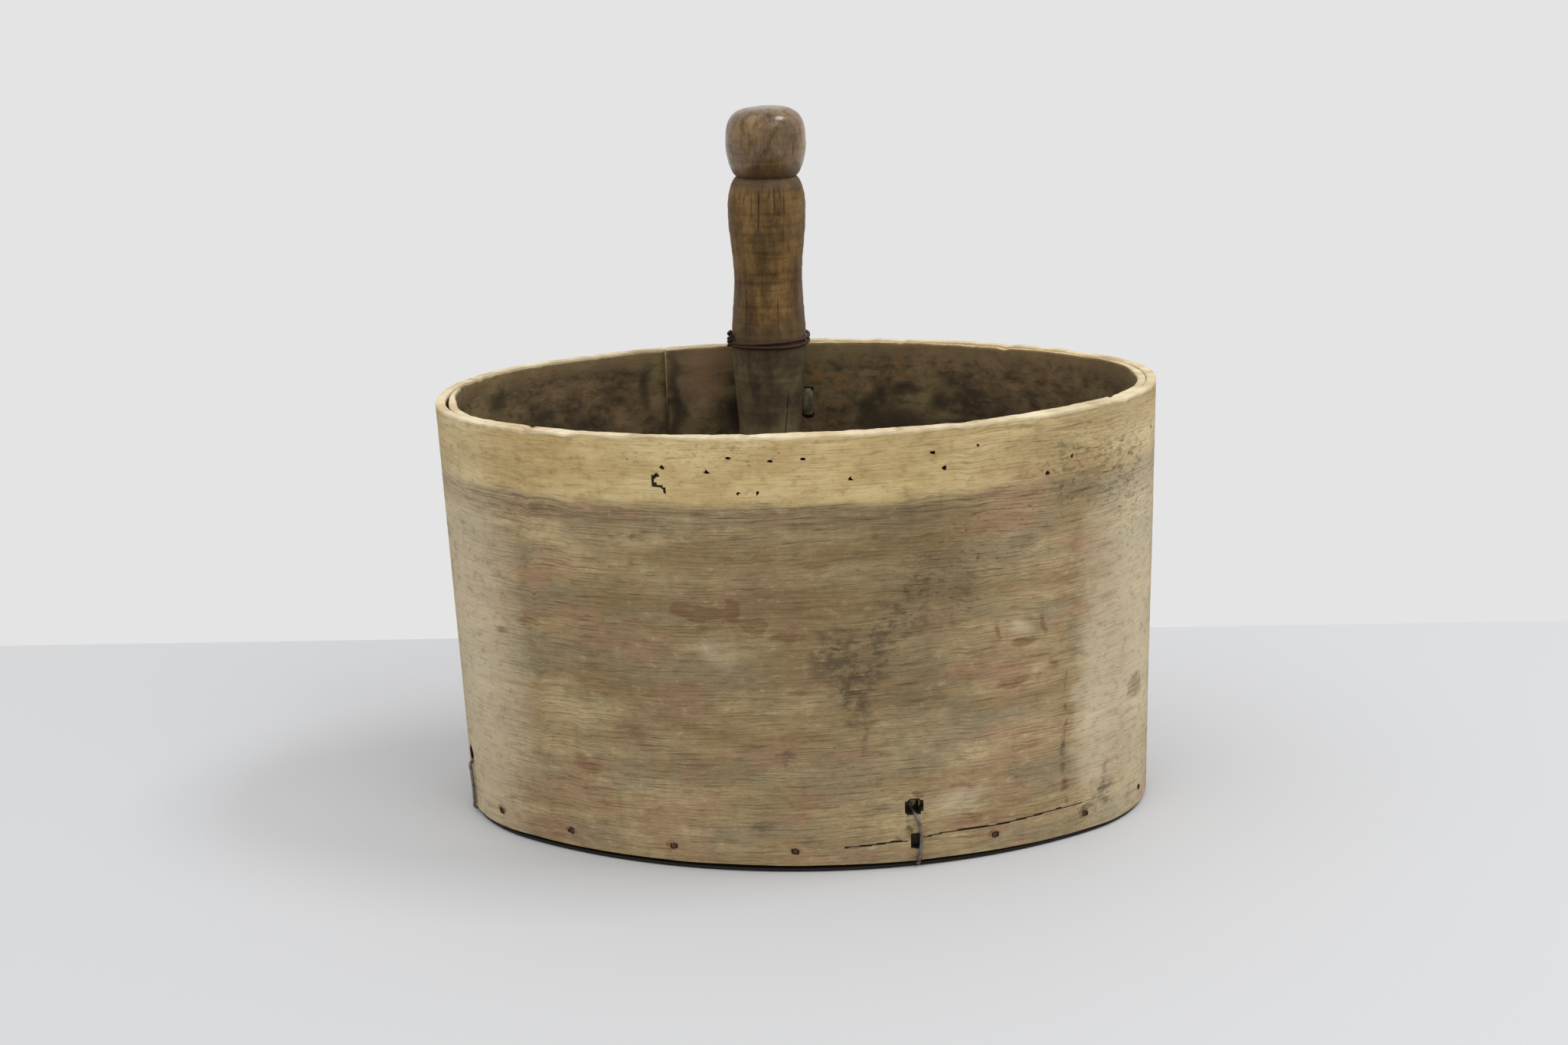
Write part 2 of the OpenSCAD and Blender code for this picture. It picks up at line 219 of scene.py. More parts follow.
def grid_object(name, points, closed_u, closed_v, attributes=None):
    """A mesh from an (n, m, 3) array of points, joined round in either direction, capped where it isn't."""
    n, m, _ = points.shape
    index = np.arange(n * m).reshape(n, m)
    us = n if closed_u else n - 1
    vs = m if closed_v else m - 1
    i, j = np.meshgrid(np.arange(us), np.arange(vs), indexing="ij")
    i2, j2 = (i + 1) % n, (j + 1) % m
    quads = np.stack([index[i, j], index[i2, j], index[i2, j2], index[i, j2]], -1).reshape(-1, 4)
    faces = quads.tolist()
    if closed_v and not closed_u:
        faces += [index[0].tolist(), index[-1, ::-1].tolist()]
    if closed_u and not closed_v:
        faces += [index[::-1, 0].tolist(), index[:, -1].tolist()]
    mesh = bpy.data.meshes.new(name)
    mesh.from_pydata(points.reshape(-1, 3).tolist(), [], faces)
    for key, values in (attributes or {}).items():
        if values.ndim == 3:
            layer = mesh.attributes.new(key, "FLOAT_VECTOR", "POINT")
            layer.data.foreach_set("vector", values.astype(np.float32).ravel())
        else:
            layer = mesh.attributes.new(key, "FLOAT", "POINT")
            layer.data.foreach_set("value", values.astype(np.float32).ravel())
    mesh.validate()
    return link(name, mesh)


def cut(obj, cutters):
    """Cuts closed shapes out of a closed piece."""
    tool = join_meshes("cutters", cutters)
    face_outward(tool.data)
    mod = obj.modifiers.new("cut", "BOOLEAN")
    mod.operation = "DIFFERENCE"
    mod.solver = "MANIFOLD"
    mod.object = tool
    made = bpy.data.meshes.new_from_object(obj.evaluated_get(bpy.context.evaluated_depsgraph_get()))
    obj.modifiers.clear()
    old = obj.data
    made.name = old.name
    made.materials.clear()
    obj.data = made
    bpy.data.meshes.remove(old)
    bpy.data.objects.remove(tool)


def face_outward(mesh):
    """Turns all the faces of closed shapes outward."""
    work = bmesh.new()
    work.from_mesh(mesh)
    bmesh.ops.recalc_face_normals(work, faces=work.faces)
    work.to_mesh(mesh)
    work.free()


def join_meshes(name, parts):
    """One object from lists of (vertices, faces)."""
    verts, faces = [], []
    for v, f in parts:
        start = len(verts)
        verts += v
        faces += [[k + start for k in face] for face in f]
    mesh = bpy.data.meshes.new(name)
    mesh.from_pydata(verts, [], faces)
    return link(name, mesh)


def prism(outline_points, axis, start, end):
    """A closed prism: an outline in 3-D swept along an axis from start to end."""
    n = len(outline_points)
    verts = [p + axis * d for d in (start, end) for p in outline_points]
    faces = [list(range(n))[::-1], list(range(n, 2 * n))]
    faces += [[k, (k + 1) % n, n + (k + 1) % n, n + k] for k in range(n)]
    return verts, faces


def ragged_hole(direction, z, width, height, depth, seed, sides=14, rough=0.12, square=2.0, side=0.0):
    """A cutter for a worn hole through the wall. A larger square value gives a squarer hole."""
    rng = np.random.default_rng(seed)
    centre = place(direction, z, 0, side)
    across = sideways(direction)
    points = []
    for k in range(sides):
        a = 2 * math.pi * k / sides
        c, s = math.cos(a), math.sin(a)
        grow = 1 + rough * rng.uniform(-1, 1)
        x = math.copysign(abs(c) ** (2 / square), c) * width / 2 * grow
        y = math.copysign(abs(s) ** (2 / square), s) * height / 2 * grow
        points.append(centre + across * x + Vector((0, 0, y)))
    return prism(points, -outward(direction), -3 * MM, depth)


def split_cutter(route, half_height, depth):
    """A cutter for a split that runs along the grain. Route is a list of (direction, height)."""
    upper, lower, deep_upper, deep_lower = [], [], [], []
    for k, (direction, z) in enumerate(route):
        share = math.sin(math.pi * (k + 0.35) / (len(route) - 0.3))
        h = max(half_height * share, 0.06 * MM)
        upper.append(place(direction, z + h, 1 * MM))
        lower.append(place(direction, z - h, 1 * MM))
        deep_upper.append(place(direction, z + h * 0.3, -depth))
        deep_lower.append(place(direction, z - h * 0.3, -depth))
    verts = upper + lower + deep_upper + deep_lower
    n = len(route)
    faces = []
    for k in range(n - 1):
        u, l, du, dl = k, n + k, 2 * n + k, 3 * n + k
        faces += [[u, l, l + 1, u + 1], [u, u + 1, du + 1, du], [du, du + 1, dl + 1, dl], [dl, dl + 1, l + 1, l]]
    faces += [[0, 2 * n, 3 * n, n], [n - 1, 2 * n - 1, 4 * n - 1, 3 * n - 1]]
    return verts, faces


def track_cutter(route, half_width, depth):
    """A cutter for a thin track that wanders over the surface."""
    left, right = [], []
    for k, (direction, z) in enumerate(route):
        before, after = route[max(k - 1, 0)], route[min(k + 1, len(route) - 1)]
        run = place(*after) - place(*before)
        across = run.cross(outward(direction)).normalized() * half_width
        left.append((direction, z, across))
        right.append((direction, z, -across))
    rows = [[place(d, z, out) + a for d, z, a in edge] for out in (1 * MM, -depth) for edge in (left, right)]
    n = len(route)
    verts = [p for row in rows for p in row]
    faces = []
    for k in range(n - 1):
        for a, b in ((0, 1), (1, 3), (3, 2), (2, 0)):
            faces.append([a * n + k, b * n + k, b * n + k + 1, a * n + k + 1])
    faces += [[0, 2 * n, 3 * n, n], [n - 1, 2 * n - 1, 4 * n - 1, 3 * n - 1]]
    return verts, faces


# ---- Node helpers ----


class Shader:
    """Builds one procedural material."""

    def __init__(self, name):
        self.material = bpy.data.materials.new(name)
        self.material.use_nodes = True
        self.tree = self.material.node_tree
        self.tree.nodes.clear()
        self.out = self.tree.nodes.new("ShaderNodeOutputMaterial")
        self.bsdf = self.tree.nodes.new("ShaderNodeBsdfPrincipled")
        self.tree.links.new(self.bsdf.outputs[0], self.out.inputs[0])

    def put(self, socket, value):
        if isinstance(value, bpy.types.NodeSocket):
            self.tree.links.new(value, socket)
        else:
            socket.default_value = value

    def node(self, kind, inputs=None, **settings):
        made = self.tree.nodes.new(kind)
        for key, value in settings.items():
            setattr(made, key, value)
        for key, value in (inputs or {}).items():
            self.put(made.inputs[key], value)
        return made

    def attribute(self, name, vector=False):
        made = self.node("ShaderNodeAttribute", attribute_name=name)
        return made.outputs["Vector" if vector else "Fac"]

    def position(self):
        return self.node("ShaderNodeTexCoord").outputs["Object"]

    def math(self, operation, a, b=0.0, clamp=False):
        made = self.node("ShaderNodeMath", {0: a, 1: b}, operation=operation)
        made.use_clamp = clamp
        return made.outputs[0]

    def stretch(self, vector, scale, move=(0, 0, 0)):
        return self.node("ShaderNodeMapping", {"Vector": vector, "Scale": scale, "Location": move}).outputs[0]

    def noise(self, vector, scale=1.0, detail=3.0, rough=0.5, distort=0.0):
        inputs = {"Vector": vector, "Scale": scale, "Detail": detail, "Roughness": rough, "Distortion": distort}
        return self.node("ShaderNodeTexNoise", inputs).outputs["Fac"]

    def between(self, value, low, high, to_low=0.0, to_high=1.0):
        inputs = {"Value": value, "From Min": low, "From Max": high, "To Min": to_low, "To Max": to_high}
        return self.node("ShaderNodeMapRange", inputs, interpolation_type="SMOOTHSTEP").outputs[0]

    def times(self, a, b, clamp=False):
        return self.math("MULTIPLY", a, b, clamp)

    def plus(self, a, b):
        return self.math("ADD", a, b)

    def minus(self, a, b):
        return self.math("SUBTRACT", a, b)

    def swing(self, noise, size):
        """Noise moved to both sides of zero, and scaled."""
        return self.times(self.minus(noise, 0.5), size)

    def mix_value(self, share, a, b):
        return self.node("ShaderNodeMix", {0: share, 2: a, 3: b}, data_type="FLOAT").outputs[0]

    def mix(self, share, a, b):
        made = self.node("ShaderNodeMix", data_type="RGBA")
        self.put(made.inputs[0], share)
        self.put(made.inputs[6], a)
        self.put(made.inputs[7], b)
        return made.outputs[2]

    def parts(self, vector):
        return self.node("ShaderNodeSeparateXYZ", {0: vector}).outputs

    def bump(self, height, distance, strength=1.0, normal=None):
        inputs = {"Height": height, "Distance": distance, "Strength": strength}
        if normal is not None:
            inputs["Normal"] = normal
        return self.node("ShaderNodeBump", inputs).outputs[0]

    def finish(self, color, rough, normal=None, specular=0.5):
        self.put(self.bsdf.inputs["Base Color"], color)
        self.put(self.bsdf.inputs["Roughness"], rough)
        self.bsdf.inputs["Specular IOR Level"].default_value = specular
        if normal is not None:
            self.put(self.bsdf.inputs["Normal"], normal)
        return self.material


def rgb(r, g, b):
    return (r, g, b, 1.0)


# ---- Materials ----

TAN_DEEP = rgb(0.300, 0.205, 0.098)
TAN_PALE = rgb(0.520, 0.400, 0.215)
TAN_LIGHT = rgb(0.700, 0.610, 0.430)
GREY_GREEN = rgb(0.262, 0.222, 0.132)
GREY_BROWN = rgb(0.175, 0.120, 0.050)
PINK_BROWN = rgb(0.370, 0.222, 0.130)
STRIPE_PALE = rgb(0.760, 0.600, 0.300)
STRIPE_DEEP = rgb(0.560, 0.395, 0.160)
GRAIN_BROWN = rgb(0.135, 0.082, 0.037)
GRAIN_DARK = rgb(0.062, 0.039, 0.019)
FLECK_DARK = rgb(0.042, 0.025, 0.013)
SOOT = rgb(0.070, 0.054, 0.034)
RUDDY = rgb(0.150, 0.070, 0.030)
RIM_PALE = rgb(0.76, 0.66, 0.45)
RIM_TAN = rgb(0.52, 0.40, 0.235)
INNER_BLACK = rgb(0.022, 0.015, 0.009)
INNER_DARK = rgb(0.052, 0.037, 0.021)
INNER_BROWN = rgb(0.235, 0.155, 0.076)
INNER_OLIVE = rgb(0.205, 0.165, 0.070)
# Painted shade for the faces inside holes and splits, over their old dirt
HOLE_SHADE_AND_DIRT = rgb(0.022, 0.014, 0.008)
RUST_STAIN = rgb(0.300, 0.130, 0.036)


def wood_wall():
    """Weathered bent wood: pale and stained outside, dark and greasy inside, worn at the rim, with painted shade in
    holes and splits and painted shadows on the inner face beside the handle and the inner band's end.
    """
    sh = Shader("bentwood")
    grain = sh.attribute("grain", vector=True)
    inside = sh.attribute("inside")
    down = sh.parts(grain)[2]

    # The grain drifts a little up and down along the strip
    drift = sh.noise(sh.stretch(grain, (7, 1, 12)), detail=2)
    shift = sh.node("ShaderNodeCombineXYZ", {2: sh.swing(drift, 0.012)})
    flow = sh.node("ShaderNodeVectorMath", {0: grain, 1: shift.outputs[0]}, operation="ADD").outputs[0]
    broad = sh.noise(sh.stretch(flow, (11, 1, 60)), detail=5, rough=0.62)
    lines = sh.noise(sh.stretch(flow, (42, 1, 1500)), detail=5, rough=0.68)
    dashes = sh.noise(sh.stretch(flow, (40, 1, 900), (9, 0, 4)), detail=5, rough=0.65)
    fine = sh.noise(sh.stretch(flow, (240, 1, 2600), (2, 0, 7)), detail=4, rough=0.7)
    mottle = sh.noise(sh.stretch(flow, (150, 1, 260), (3, 0, 5)), detail=5, rough=0.7)
    grey = sh.noise(sh.stretch(flow, (17, 1, 44), (3, 0, 1)), detail=5, rough=0.65)
    pink = sh.noise(sh.stretch(flow, (20, 1, 52), (6, 0, 9)), detail=5, rough=0.65)
    zone = sh.noise(sh.stretch(grain, (9, 1, 17), (1, 0, 8)), detail=4, rough=0.6)

    color = sh.mix(sh.between(broad, 0.3, 0.7), TAN_DEEP, TAN_PALE)
    color = sh.mix(sh.between(grey, 0.45, 0.62, 0, 0.75), color, GREY_GREEN)
    color = sh.mix(sh.between(pink, 0.47, 0.62, 0, 0.72), color, PINK_BROWN)
    color = sh.mix(sh.times(sh.attribute("pale"), 0.62), color, TAN_LIGHT)
    grime = sh.times(sh.attribute("grime"), sh.between(broad, 0.30, 0.66, 1.0, 0.55))
    color = sh.mix(sh.times(grime, 0.8), color, GREY_BROWN)

    # The yellow stripe under the rim, with a dark line of grain at its lower edge
    stripe = sh.attribute("stripe")
    edge = sh.plus(down, sh.swing(broad, 0.020))
    edge = sh.plus(edge, sh.swing(lines, 0.012))
    above = sh.times(sh.between(edge, 0.0335, 0.0255), stripe)
    yellow = sh.mix(sh.between(grey, 0.35, 0.65), STRIPE_PALE, STRIPE_DEEP)
    color = sh.mix(sh.times(above, 0.85), color, yellow)
    under = sh.times(sh.between(edge, 0.0275, 0.0310), sh.between(edge, 0.0420, 0.0330))
    under = sh.times(under, stripe)
    color = sh.mix(sh.times(under, 0.22), color, GREY_GREEN)
    seam = sh.times(under, sh.between(dashes, 0.56, 0.42))
    color = sh.mix(sh.times(seam, 0.5), color, GRAIN_DARK)

    # Grain: soft brown lines, then separate dark dashes where the wood is more weathered
    clear = sh.minus(1.0, sh.times(above, 0.5))
    faded = sh.minus(1.0, sh.times(sh.attribute("pale"), 0.6, clamp=True))
    clear = sh.times(clear, faded)
    color = sh.mix(sh.between(mottle, 0.50, 0.34, 0, 0.32), color, GRAIN_BROWN)
    color = sh.mix(sh.between(mottle, 0.54, 0.70, 0, 0.28), color, TAN_LIGHT)
    color = sh.mix(sh.times(sh.between(lines, 0.53, 0.35, 0, 0.62), clear), color, GRAIN_BROWN)
    color = sh.mix(sh.times(sh.between(fine, 0.50, 0.34, 0, 0.42), clear), color, GRAIN_BROWN)
    worn = sh.plus(zone, sh.times(sh.attribute("fleck"), 0.25))
    dash = sh.times(sh.between(dashes, 0.44, 0.35), sh.between(worn, 0.36, 0.6))
    dash = sh.times(dash, clear)
    color = sh.mix(sh.times(dash, 0.55), color, GRAIN_DARK)
    color = sh.mix(sh.between(lines, 0.60, 0.76, 0, 0.4), color, TAN_LIGHT)

    # Flecks of dirt
    speck = sh.noise(sh.stretch(flow, (190, 1, 520), (7, 0, 3)), detail=6, rough=0.72)
    limit = sh.plus(speck, sh.times(sh.attribute("fleck"), 0.105))
    fleck = sh.between(limit, 0.63, 0.74)
    color = sh.mix(sh.times(fleck, 0.7), color, FLECK_DARK)
    scuffed = sh.between(sh.plus(mottle, sh.times(sh.attribute("fleck"), 0.12)), 0.60, 0.70)
    scuffed = sh.times(scuffed, sh.between(sh.attribute("fleck"), 0.0, 0.3))
    color = sh.mix(sh.times(scuffed, 0.5), color, GRAIN_BROWN)

    # Stains: soot and ruddy smears whose edges break along the grain
    ragged = sh.noise(sh.stretch(flow, (95, 1, 260), (4, 0, 4)), detail=6, rough=0.75)
    rough_edge = sh.swing(ragged, 1.5)
    on_soot = sh.between(sh.attribute("soot"), 0.02, 0.12)
    soot = sh.between(sh.plus(sh.attribute("soot"), rough_edge), 0.20, 1.0)
    soot = sh.times(soot, on_soot)
    broken = sh.times(soot, sh.between(mottle, 0.58, 0.42, 0.22, 1.0))
    color = sh.mix(sh.times(broken, 0.78), color, SOOT)
    edge_noise = sh.swing(ragged, 0.9)
    ruddy = sh.between(sh.plus(sh.attribute("ruddy"), edge_noise), 0.24, 0.48)
    ruddy = sh.times(ruddy, sh.between(lines, 0.62, 0.42, 0.5, 1.0))
    color = sh.mix(sh.times(ruddy, 0.68), color, RUDDY)

    # The dark inner face
    cloud = sh.noise(sh.stretch(grain, (34, 1, 48), (5, 0, 2)), detail=6, rough=0.65)
    olive = sh.noise(sh.stretch(grain, (19, 1, 26), (8, 0, 6)), detail=5, rough=0.6)
    dark = sh.mix(sh.between(cloud, 0.34, 0.66), INNER_DARK, INNER_BROWN)
    dark = sh.mix(sh.between(olive, 0.46, 0.62, 0, 0.7), dark, INNER_OLIVE)
    dark = sh.mix(sh.between(mottle, 0.52, 0.36, 0, 0.5), dark, INNER_BLACK)
    dark = sh.mix(sh.between(mottle, 0.55, 0.72, 0, 0.5), dark, INNER_BROWN)
    dark = sh.mix(sh.times(sh.attribute("pale"), 0.8), dark, PINK_BROWN)
    dark = sh.mix(sh.between(lines, 0.50, 0.38, 0, 0.2), dark, INNER_DARK)
    deep = sh.plus(down, sh.swing(cloud, 0.03))
    dark = sh.mix(sh.between(deep, 0.03, 0.09, 0, 0.55), dark, INNER_DARK)
    dark = sh.mix(sh.between(deep, 0.010, 0.001, 0, 0.45), dark, TAN_DEEP)
    cloudy = sh.swing(mottle, 1.2)
    # The dark marks inside are soot, plus painted shadows: a narrow one between the handle and the root stitch, and
    # one beside the inner band's square end
    soot_and_shadow = sh.times(sh.plus(cloudy, 1.0), sh.attribute("soot"))
    dark = sh.mix(sh.between(soot_and_shadow, 0.05, 1.0, 0, 0.85), dark, INNER_BLACK)
    rusted = sh.times(sh.between(mottle, 0.44, 0.60), sh.attribute("ruddy"))
    dark = sh.mix(sh.between(rusted, 0.05, 0.9, 0, 0.7), dark, RUST_STAIN)
    color = sh.mix(sh.between(inside, 0.80, 0.97), color, dark)

    # The worn rim, pale right across both bands
    top_edge = sh.plus(down, sh.swing(speck, 0.002))
    rim = sh.times(sh.between(top_edge, 0.0019, 0.0008), sh.attribute("worn"))
    pale = sh.mix(sh.between(cloud, 0.35, 0.65), RIM_TAN, RIM_PALE)
    pale = sh.mix(sh.between(lines, 0.46, 0.36, 0, 0.5), pale, TAN_DEEP)
    color = sh.mix(sh.times(rim, 0.92), color, pale)

    # Faces inside holes and splits have no skin value, and are painted near-black: painted shade in these hollows,
    # over their old dirt
    color = sh.mix(sh.between(sh.attribute("skin"), 0.97, 0.75), color, HOLE_SHADE_AND_DIRT)

    relief = sh.plus(sh.times(lines, 0.5), sh.times(fine, 0.3))
    relief = sh.minus(relief, sh.times(dash, 0.35))
    relief = sh.minus(relief, sh.times(fleck, 0.4))
    normal = sh.bump(relief, 0.00022, 0.8)
    rough = sh.mix_value(inside, sh.between(lines, 0.3, 0.7, 0.95, 0.78), 0.72)
    return sh.finish(color, rough, normal, specular=0.22)


def wood_board():
    """The bottom board: flat grain along its length, dark and worn, with painted shade on its lowest edge."""
    sh = Shader("board_wood")
    place_in = sh.position()
    broad = sh.noise(sh.stretch(place_in, (7, 60, 20)), detail=5, rough=0.6)
    lines = sh.noise(sh.stretch(place_in, (18, 620, 300)), detail=4, rough=0.6)
    dirt = sh.noise(place_in, scale=28, detail=5, rough=0.65)
    color = sh.mix(sh.between(broad, 0.3, 0.7), rgb(0.10, 0.068, 0.04), rgb(0.22, 0.155, 0.09))
    color = sh.mix(sh.between(lines, 0.52, 0.38, 0, 0.6), color, rgb(0.05, 0.033, 0.02))
    color = sh.mix(sh.between(dirt, 0.5, 0.72, 0, 0.6), color, rgb(0.06, 0.045, 0.032))
    height = sh.parts(place_in)[2]
    # Painted shade: the board's lowest 2 to 3 mm, the lip that shows under the band's foot, is painted near-black for
    # the shade there
    foot = sh.times(sh.between(height, 0.0030, 0.0018), sh.between(height, 0.00002, 0.00008))
    color = sh.mix(foot, color, rgb(0.016, 0.012, 0.008))
    normal = sh.bump(sh.plus(lines, sh.times(dirt, 0.5)), 0.0006, 0.7)
    return sh.finish(color, sh.between(dirt, 0.3, 0.7, 0.72, 0.9), normal, specular=0.3)


def wood_handle():
    """Warm brown turned wood, polished by hands above the rim and dull below it."""
    sh = Shader("handle_wood")
    turn = sh.attribute("turn", vector=True)
    height = sh.parts(turn)[2]
    streak = sh.noise(sh.stretch(turn, (150, 150, 22)), detail=5, rough=0.62, distort=0.4)
    pore = sh.noise(sh.stretch(turn, (1300, 1300, 70), (4, 0, 0)), detail=3, rough=0.6)
    cloud = sh.noise(turn, scale=55, detail=5, rough=0.65)
    ripple = sh.noise(sh.stretch(turn, (45, 45, 520), (2, 1, 3)), detail=3, rough=0.5)
    color = sh.mix(sh.between(streak, 0.32, 0.68), rgb(0.088, 0.043, 0.012), rgb(0.230, 0.132, 0.042))
    color = sh.mix(sh.between(cloud, 0.45, 0.70, 0, 0.6), color, rgb(0.262, 0.155, 0.055))
    color = sh.mix(sh.between(cloud, 0.48, 0.34, 0, 0.7), color, rgb(0.086, 0.060, 0.022))
    blotch = sh.noise(sh.stretch(turn, (1, 1, 0.6), (6, 2, 1)), scale=240, detail=5, rough=0.7)
    color = sh.mix(sh.between(blotch, 0.52, 0.36, 0, 0.45), color, rgb(0.058, 0.030, 0.009))
    color = sh.mix(sh.between(blotch, 0.56, 0.70, 0, 0.35), color, rgb(0.320, 0.200, 0.090))
    color = sh.mix(sh.between(pore, 0.48, 0.34, 0, 0.25), color, rgb(0.045, 0.022, 0.009))
    color = sh.mix(sh.between(ripple, 0.46, 0.33, 0, 0.35), color, rgb(0.070, 0.032, 0.012))
    ring = sh.times(sh.attribute("ring"), sh.between(cloud, 0.62, 0.42, 0.15, 1.0))
    color = sh.mix(sh.times(ring, 0.55), color, rgb(0.060, 0.020, 0.006))
    neck = sh.between(sh.math("ABSOLUTE", sh.minus(height, NECK_Z)), 0.0075, 0.0015)
    color = sh.mix(sh.times(neck, 0.62), color, rgb(0.055, 0.038, 0.026))
    edge = sh.plus(height, sh.swing(cloud, 0.03))
    soot = sh.between(edge, BOUND_Z + 0.016, BOUND_Z + 0.004)
    color = sh.mix(sh.times(soot, 0.6), color, rgb(0.062, 0.046, 0.030))
    low = sh.between(edge, BOUND_Z + 0.001, BOUND_Z - 0.008)
    dull = sh.mix(sh.between(cloud, 0.35, 0.65), rgb(0.070, 0.052, 0.028), rgb(0.165, 0.126, 0.066))
    dull = sh.mix(sh.between(streak, 0.52, 0.36, 0, 0.5), dull, rgb(0.030, 0.022, 0.015))
    color = sh.mix(sh.times(low, 0.9), color, dull)
    color = sh.mix(sh.attribute("crack"), color, rgb(0.014, 0.008, 0.005))
    relief = sh.plus(sh.times(streak, 0.7), sh.times(pore, 0.4))
    relief = sh.plus(relief, sh.times(ripple, 0.35))
    normal = sh.bump(relief, 0.00042, 0.6)
    knob = sh.between(height, NECK_Z + 0.001, NECK_Z + 0.008)
    polish = sh.between(cloud, 0.35, 0.62, 0.50, 0.72)
    shine = sh.between(blotch, 0.42, 0.62, 0.30, 0.50)
    rough = sh.mix_value(low, sh.mix_value(knob, polish, shine), 0.85)
    sh.put(sh.bsdf.inputs["Coat Weight"], sh.times(knob, sh.between(blotch, 0.36, 0.54, 0.15, 0.9)))
    sh.bsdf.inputs["Coat Roughness"].default_value = 0.2
    return sh.finish(color, rough, normal, specular=0.22)


def iron(name, base, rust, share, rough):
    """Iron wire or nails with patches of rust."""
    sh = Shader(name)
    place_in = sh.position()
    patch = sh.noise(place_in, scale=420, detail=5, rough=0.65)
    pit = sh.noise(place_in, scale=2600, detail=3)
    color = sh.mix(sh.between(patch, share + 0.12, share - 0.12), rgb(*base), rgb(*rust))
    color = sh.mix(sh.between(pit, 0.55, 0.4, 0, 0.5), color, rgb(0.02, 0.012, 0.008))
    normal = sh.bump(pit, 0.0002, 0.7)
    made = sh.finish(color, sh.between(patch, 0.3, 0.7, rough, rough + 0.3), normal)
    sh.bsdf.inputs["Metallic"].default_value = 0.45
    return made


def root_material():
    """Split root that has dried grey."""
    sh = Shader("root_lacing")
    place_in = sh.position()
    fibre = sh.noise(sh.stretch(place_in, (1600, 1600, 120)), detail=3, rough=0.6)
    cloud = sh.noise(place_in, scale=160, detail=3)
    color = sh.mix(sh.between(fibre, 0.35, 0.65), rgb(0.085, 0.070, 0.042), rgb(0.235, 0.200, 0.125))
    color = sh.mix(sh.between(cloud, 0.45, 0.62, 0, 0.7), color, rgb(0.060, 0.046, 0.028))
    return sh.finish(color, 0.7, sh.bump(fibre, 0.0004, 0.8), specular=0.4)


def plain(name, color, rough):
    """A dull surface with a faint cloud in its colour."""
    sh = Shader(name)
    cloud = sh.noise(sh.position(), scale=3, detail=3)
    tint = sh.mix(sh.between(cloud, 0.3, 0.7, 0, 0.04), rgb(*color), rgb(*(c * 0.9 for c in color)))
    return sh.finish(tint, rough, specular=0.2)


# ---- Bands ----

# Marks on the wood: direction, height above the table, half length, half height, strength
SOOT_MARKS = [(-84, 92, 20, 26, 0.85), (-79, 108, 18, 14, 0.75), (-87, 98, 14, 12, 0.7), (-85, 76, 10, 14, 0.75),
              (-77, 120, 20, 13, 0.6), (-75, 135, 18, 10, 0.65), (-79, 147, 14, 7, 0.55), (-71, 128, 16, 9, 0.55),
              (-72, 112, 10, 16, 0.5), (-92.5, 51, 8, 6, 0.75), (-83, 54, 3.5, 9, 0.7), (-83, 66, 4, 10, 0.6),
              (-110, 148, 26, 4, 0.6), (-121, 156, 20, 3.4, 0.6), (-57, 62, 1.8, 3, 0.9), (-57, 74, 1.4, 8, 0.7),
              (-57, 53, 1.8, 5, 0.9), (-57, 44, 2.6, 7, 0.9), (-57, 33, 3.4, 5, 1.0), (-57, 26, 3.6, 4, 1.0),
              (-56.5, 18, 2.4, 5, 0.8), (-50.5, 19, 4, 7, 1.0), (-48, 26, 2.6, 8, 0.8), (-46, 22, 6, 4, 0.9),
              (-48.5, 14, 6, 3.4, 0.9), (-53, 12, 6, 3.4, 0.9), (-60, 146, 12, 5, 0.5), (-96, 20, 14, 5, 0.6),
              (-89, 12, 10, 4, 0.6), (-64, 33, 10, 4, 0.5), (-140, 60, 16, 10, 0.4), (-20, 90, 18, 20, 0.4),
              (10, 60, 16, 14, 0.5), (60, 110, 26, 12, 0.5), (120, 70, 24, 18, 0.5), (100, 140, 16, 9, 0.45),
              (165, 100, 18, 14, 0.45), (40, 30, 20, 8, 0.5), (195, 40, 14, 10, 0.45)]
RUDDY_MARKS = [(-102.5, 114, 8, 5, 0.9), (-104.5, 116, 7, 3.4, 0.9), (-100, 115.5, 7, 3, 0.9),
               (-97.8, 117.5, 4, 7, 1.0), (-95.8, 110.5, 7, 5, 0.9), (-92, 105, 13, 2.4, 0.75),
               (-125, 104, 12, 4, 0.5),
               (-132, 97, 9, 3, 0.5), (-63, 96, 11, 2.6, 0.65), (-60.3, 102, 2.4, 8, 0.55), (-66.5, 101, 2.2, 6, 0.5),
               (-64, 78, 12, 3.6, 0.6), (-59, 84, 3, 7, 0.45), (-112, 60, 16, 9, 0.4), (-70, 20, 10, 6, 0.4),
               (-77, 33, 4, 3, 0.6), (-82, 26, 12, 4, 0.35), (-118, 42, 10, 7, 0.5),
               (-30, 60, 12, 8, 0.5), (30, 120, 18, 9, 0.5), (80, 60, 16, 10, 0.55), (140, 110, 20, 8, 0.5)]
FLECK_ZONES = [(-55, 168, 34, 24, 1.0), (-40, 165, 22, 30, 0.9), (-74, 130, 34, 34, 0.9),
               (-82, 95, 20, 24, 0.7), (-52, 14, 20, 12, 0.7), (-90, 40, 60, 30, 0.4), (-100, 184, 60, 9, 0.5),
               (-66, 150, 30, 22, 0.5), (-120, 120, 40, 30, 0.25), (-30, 150, 30, 40, 0.5), (30, 170, 40, 20, 0.6),
               (90, 160, 60, 30, 0.6), (150, 60, 50, 40, 0.5)]
PALE_ZONES = [(-52, 60, 16, 60, 0.9), (-30, 90, 48, 130, 1.1), (-150, 80, 46, 130, 1.0), (-100, 98, 12, 7, 0.6),
              (-63, 102.5, 7, 4, 0.8), (-72, 28, 16, 8, 0.6)]
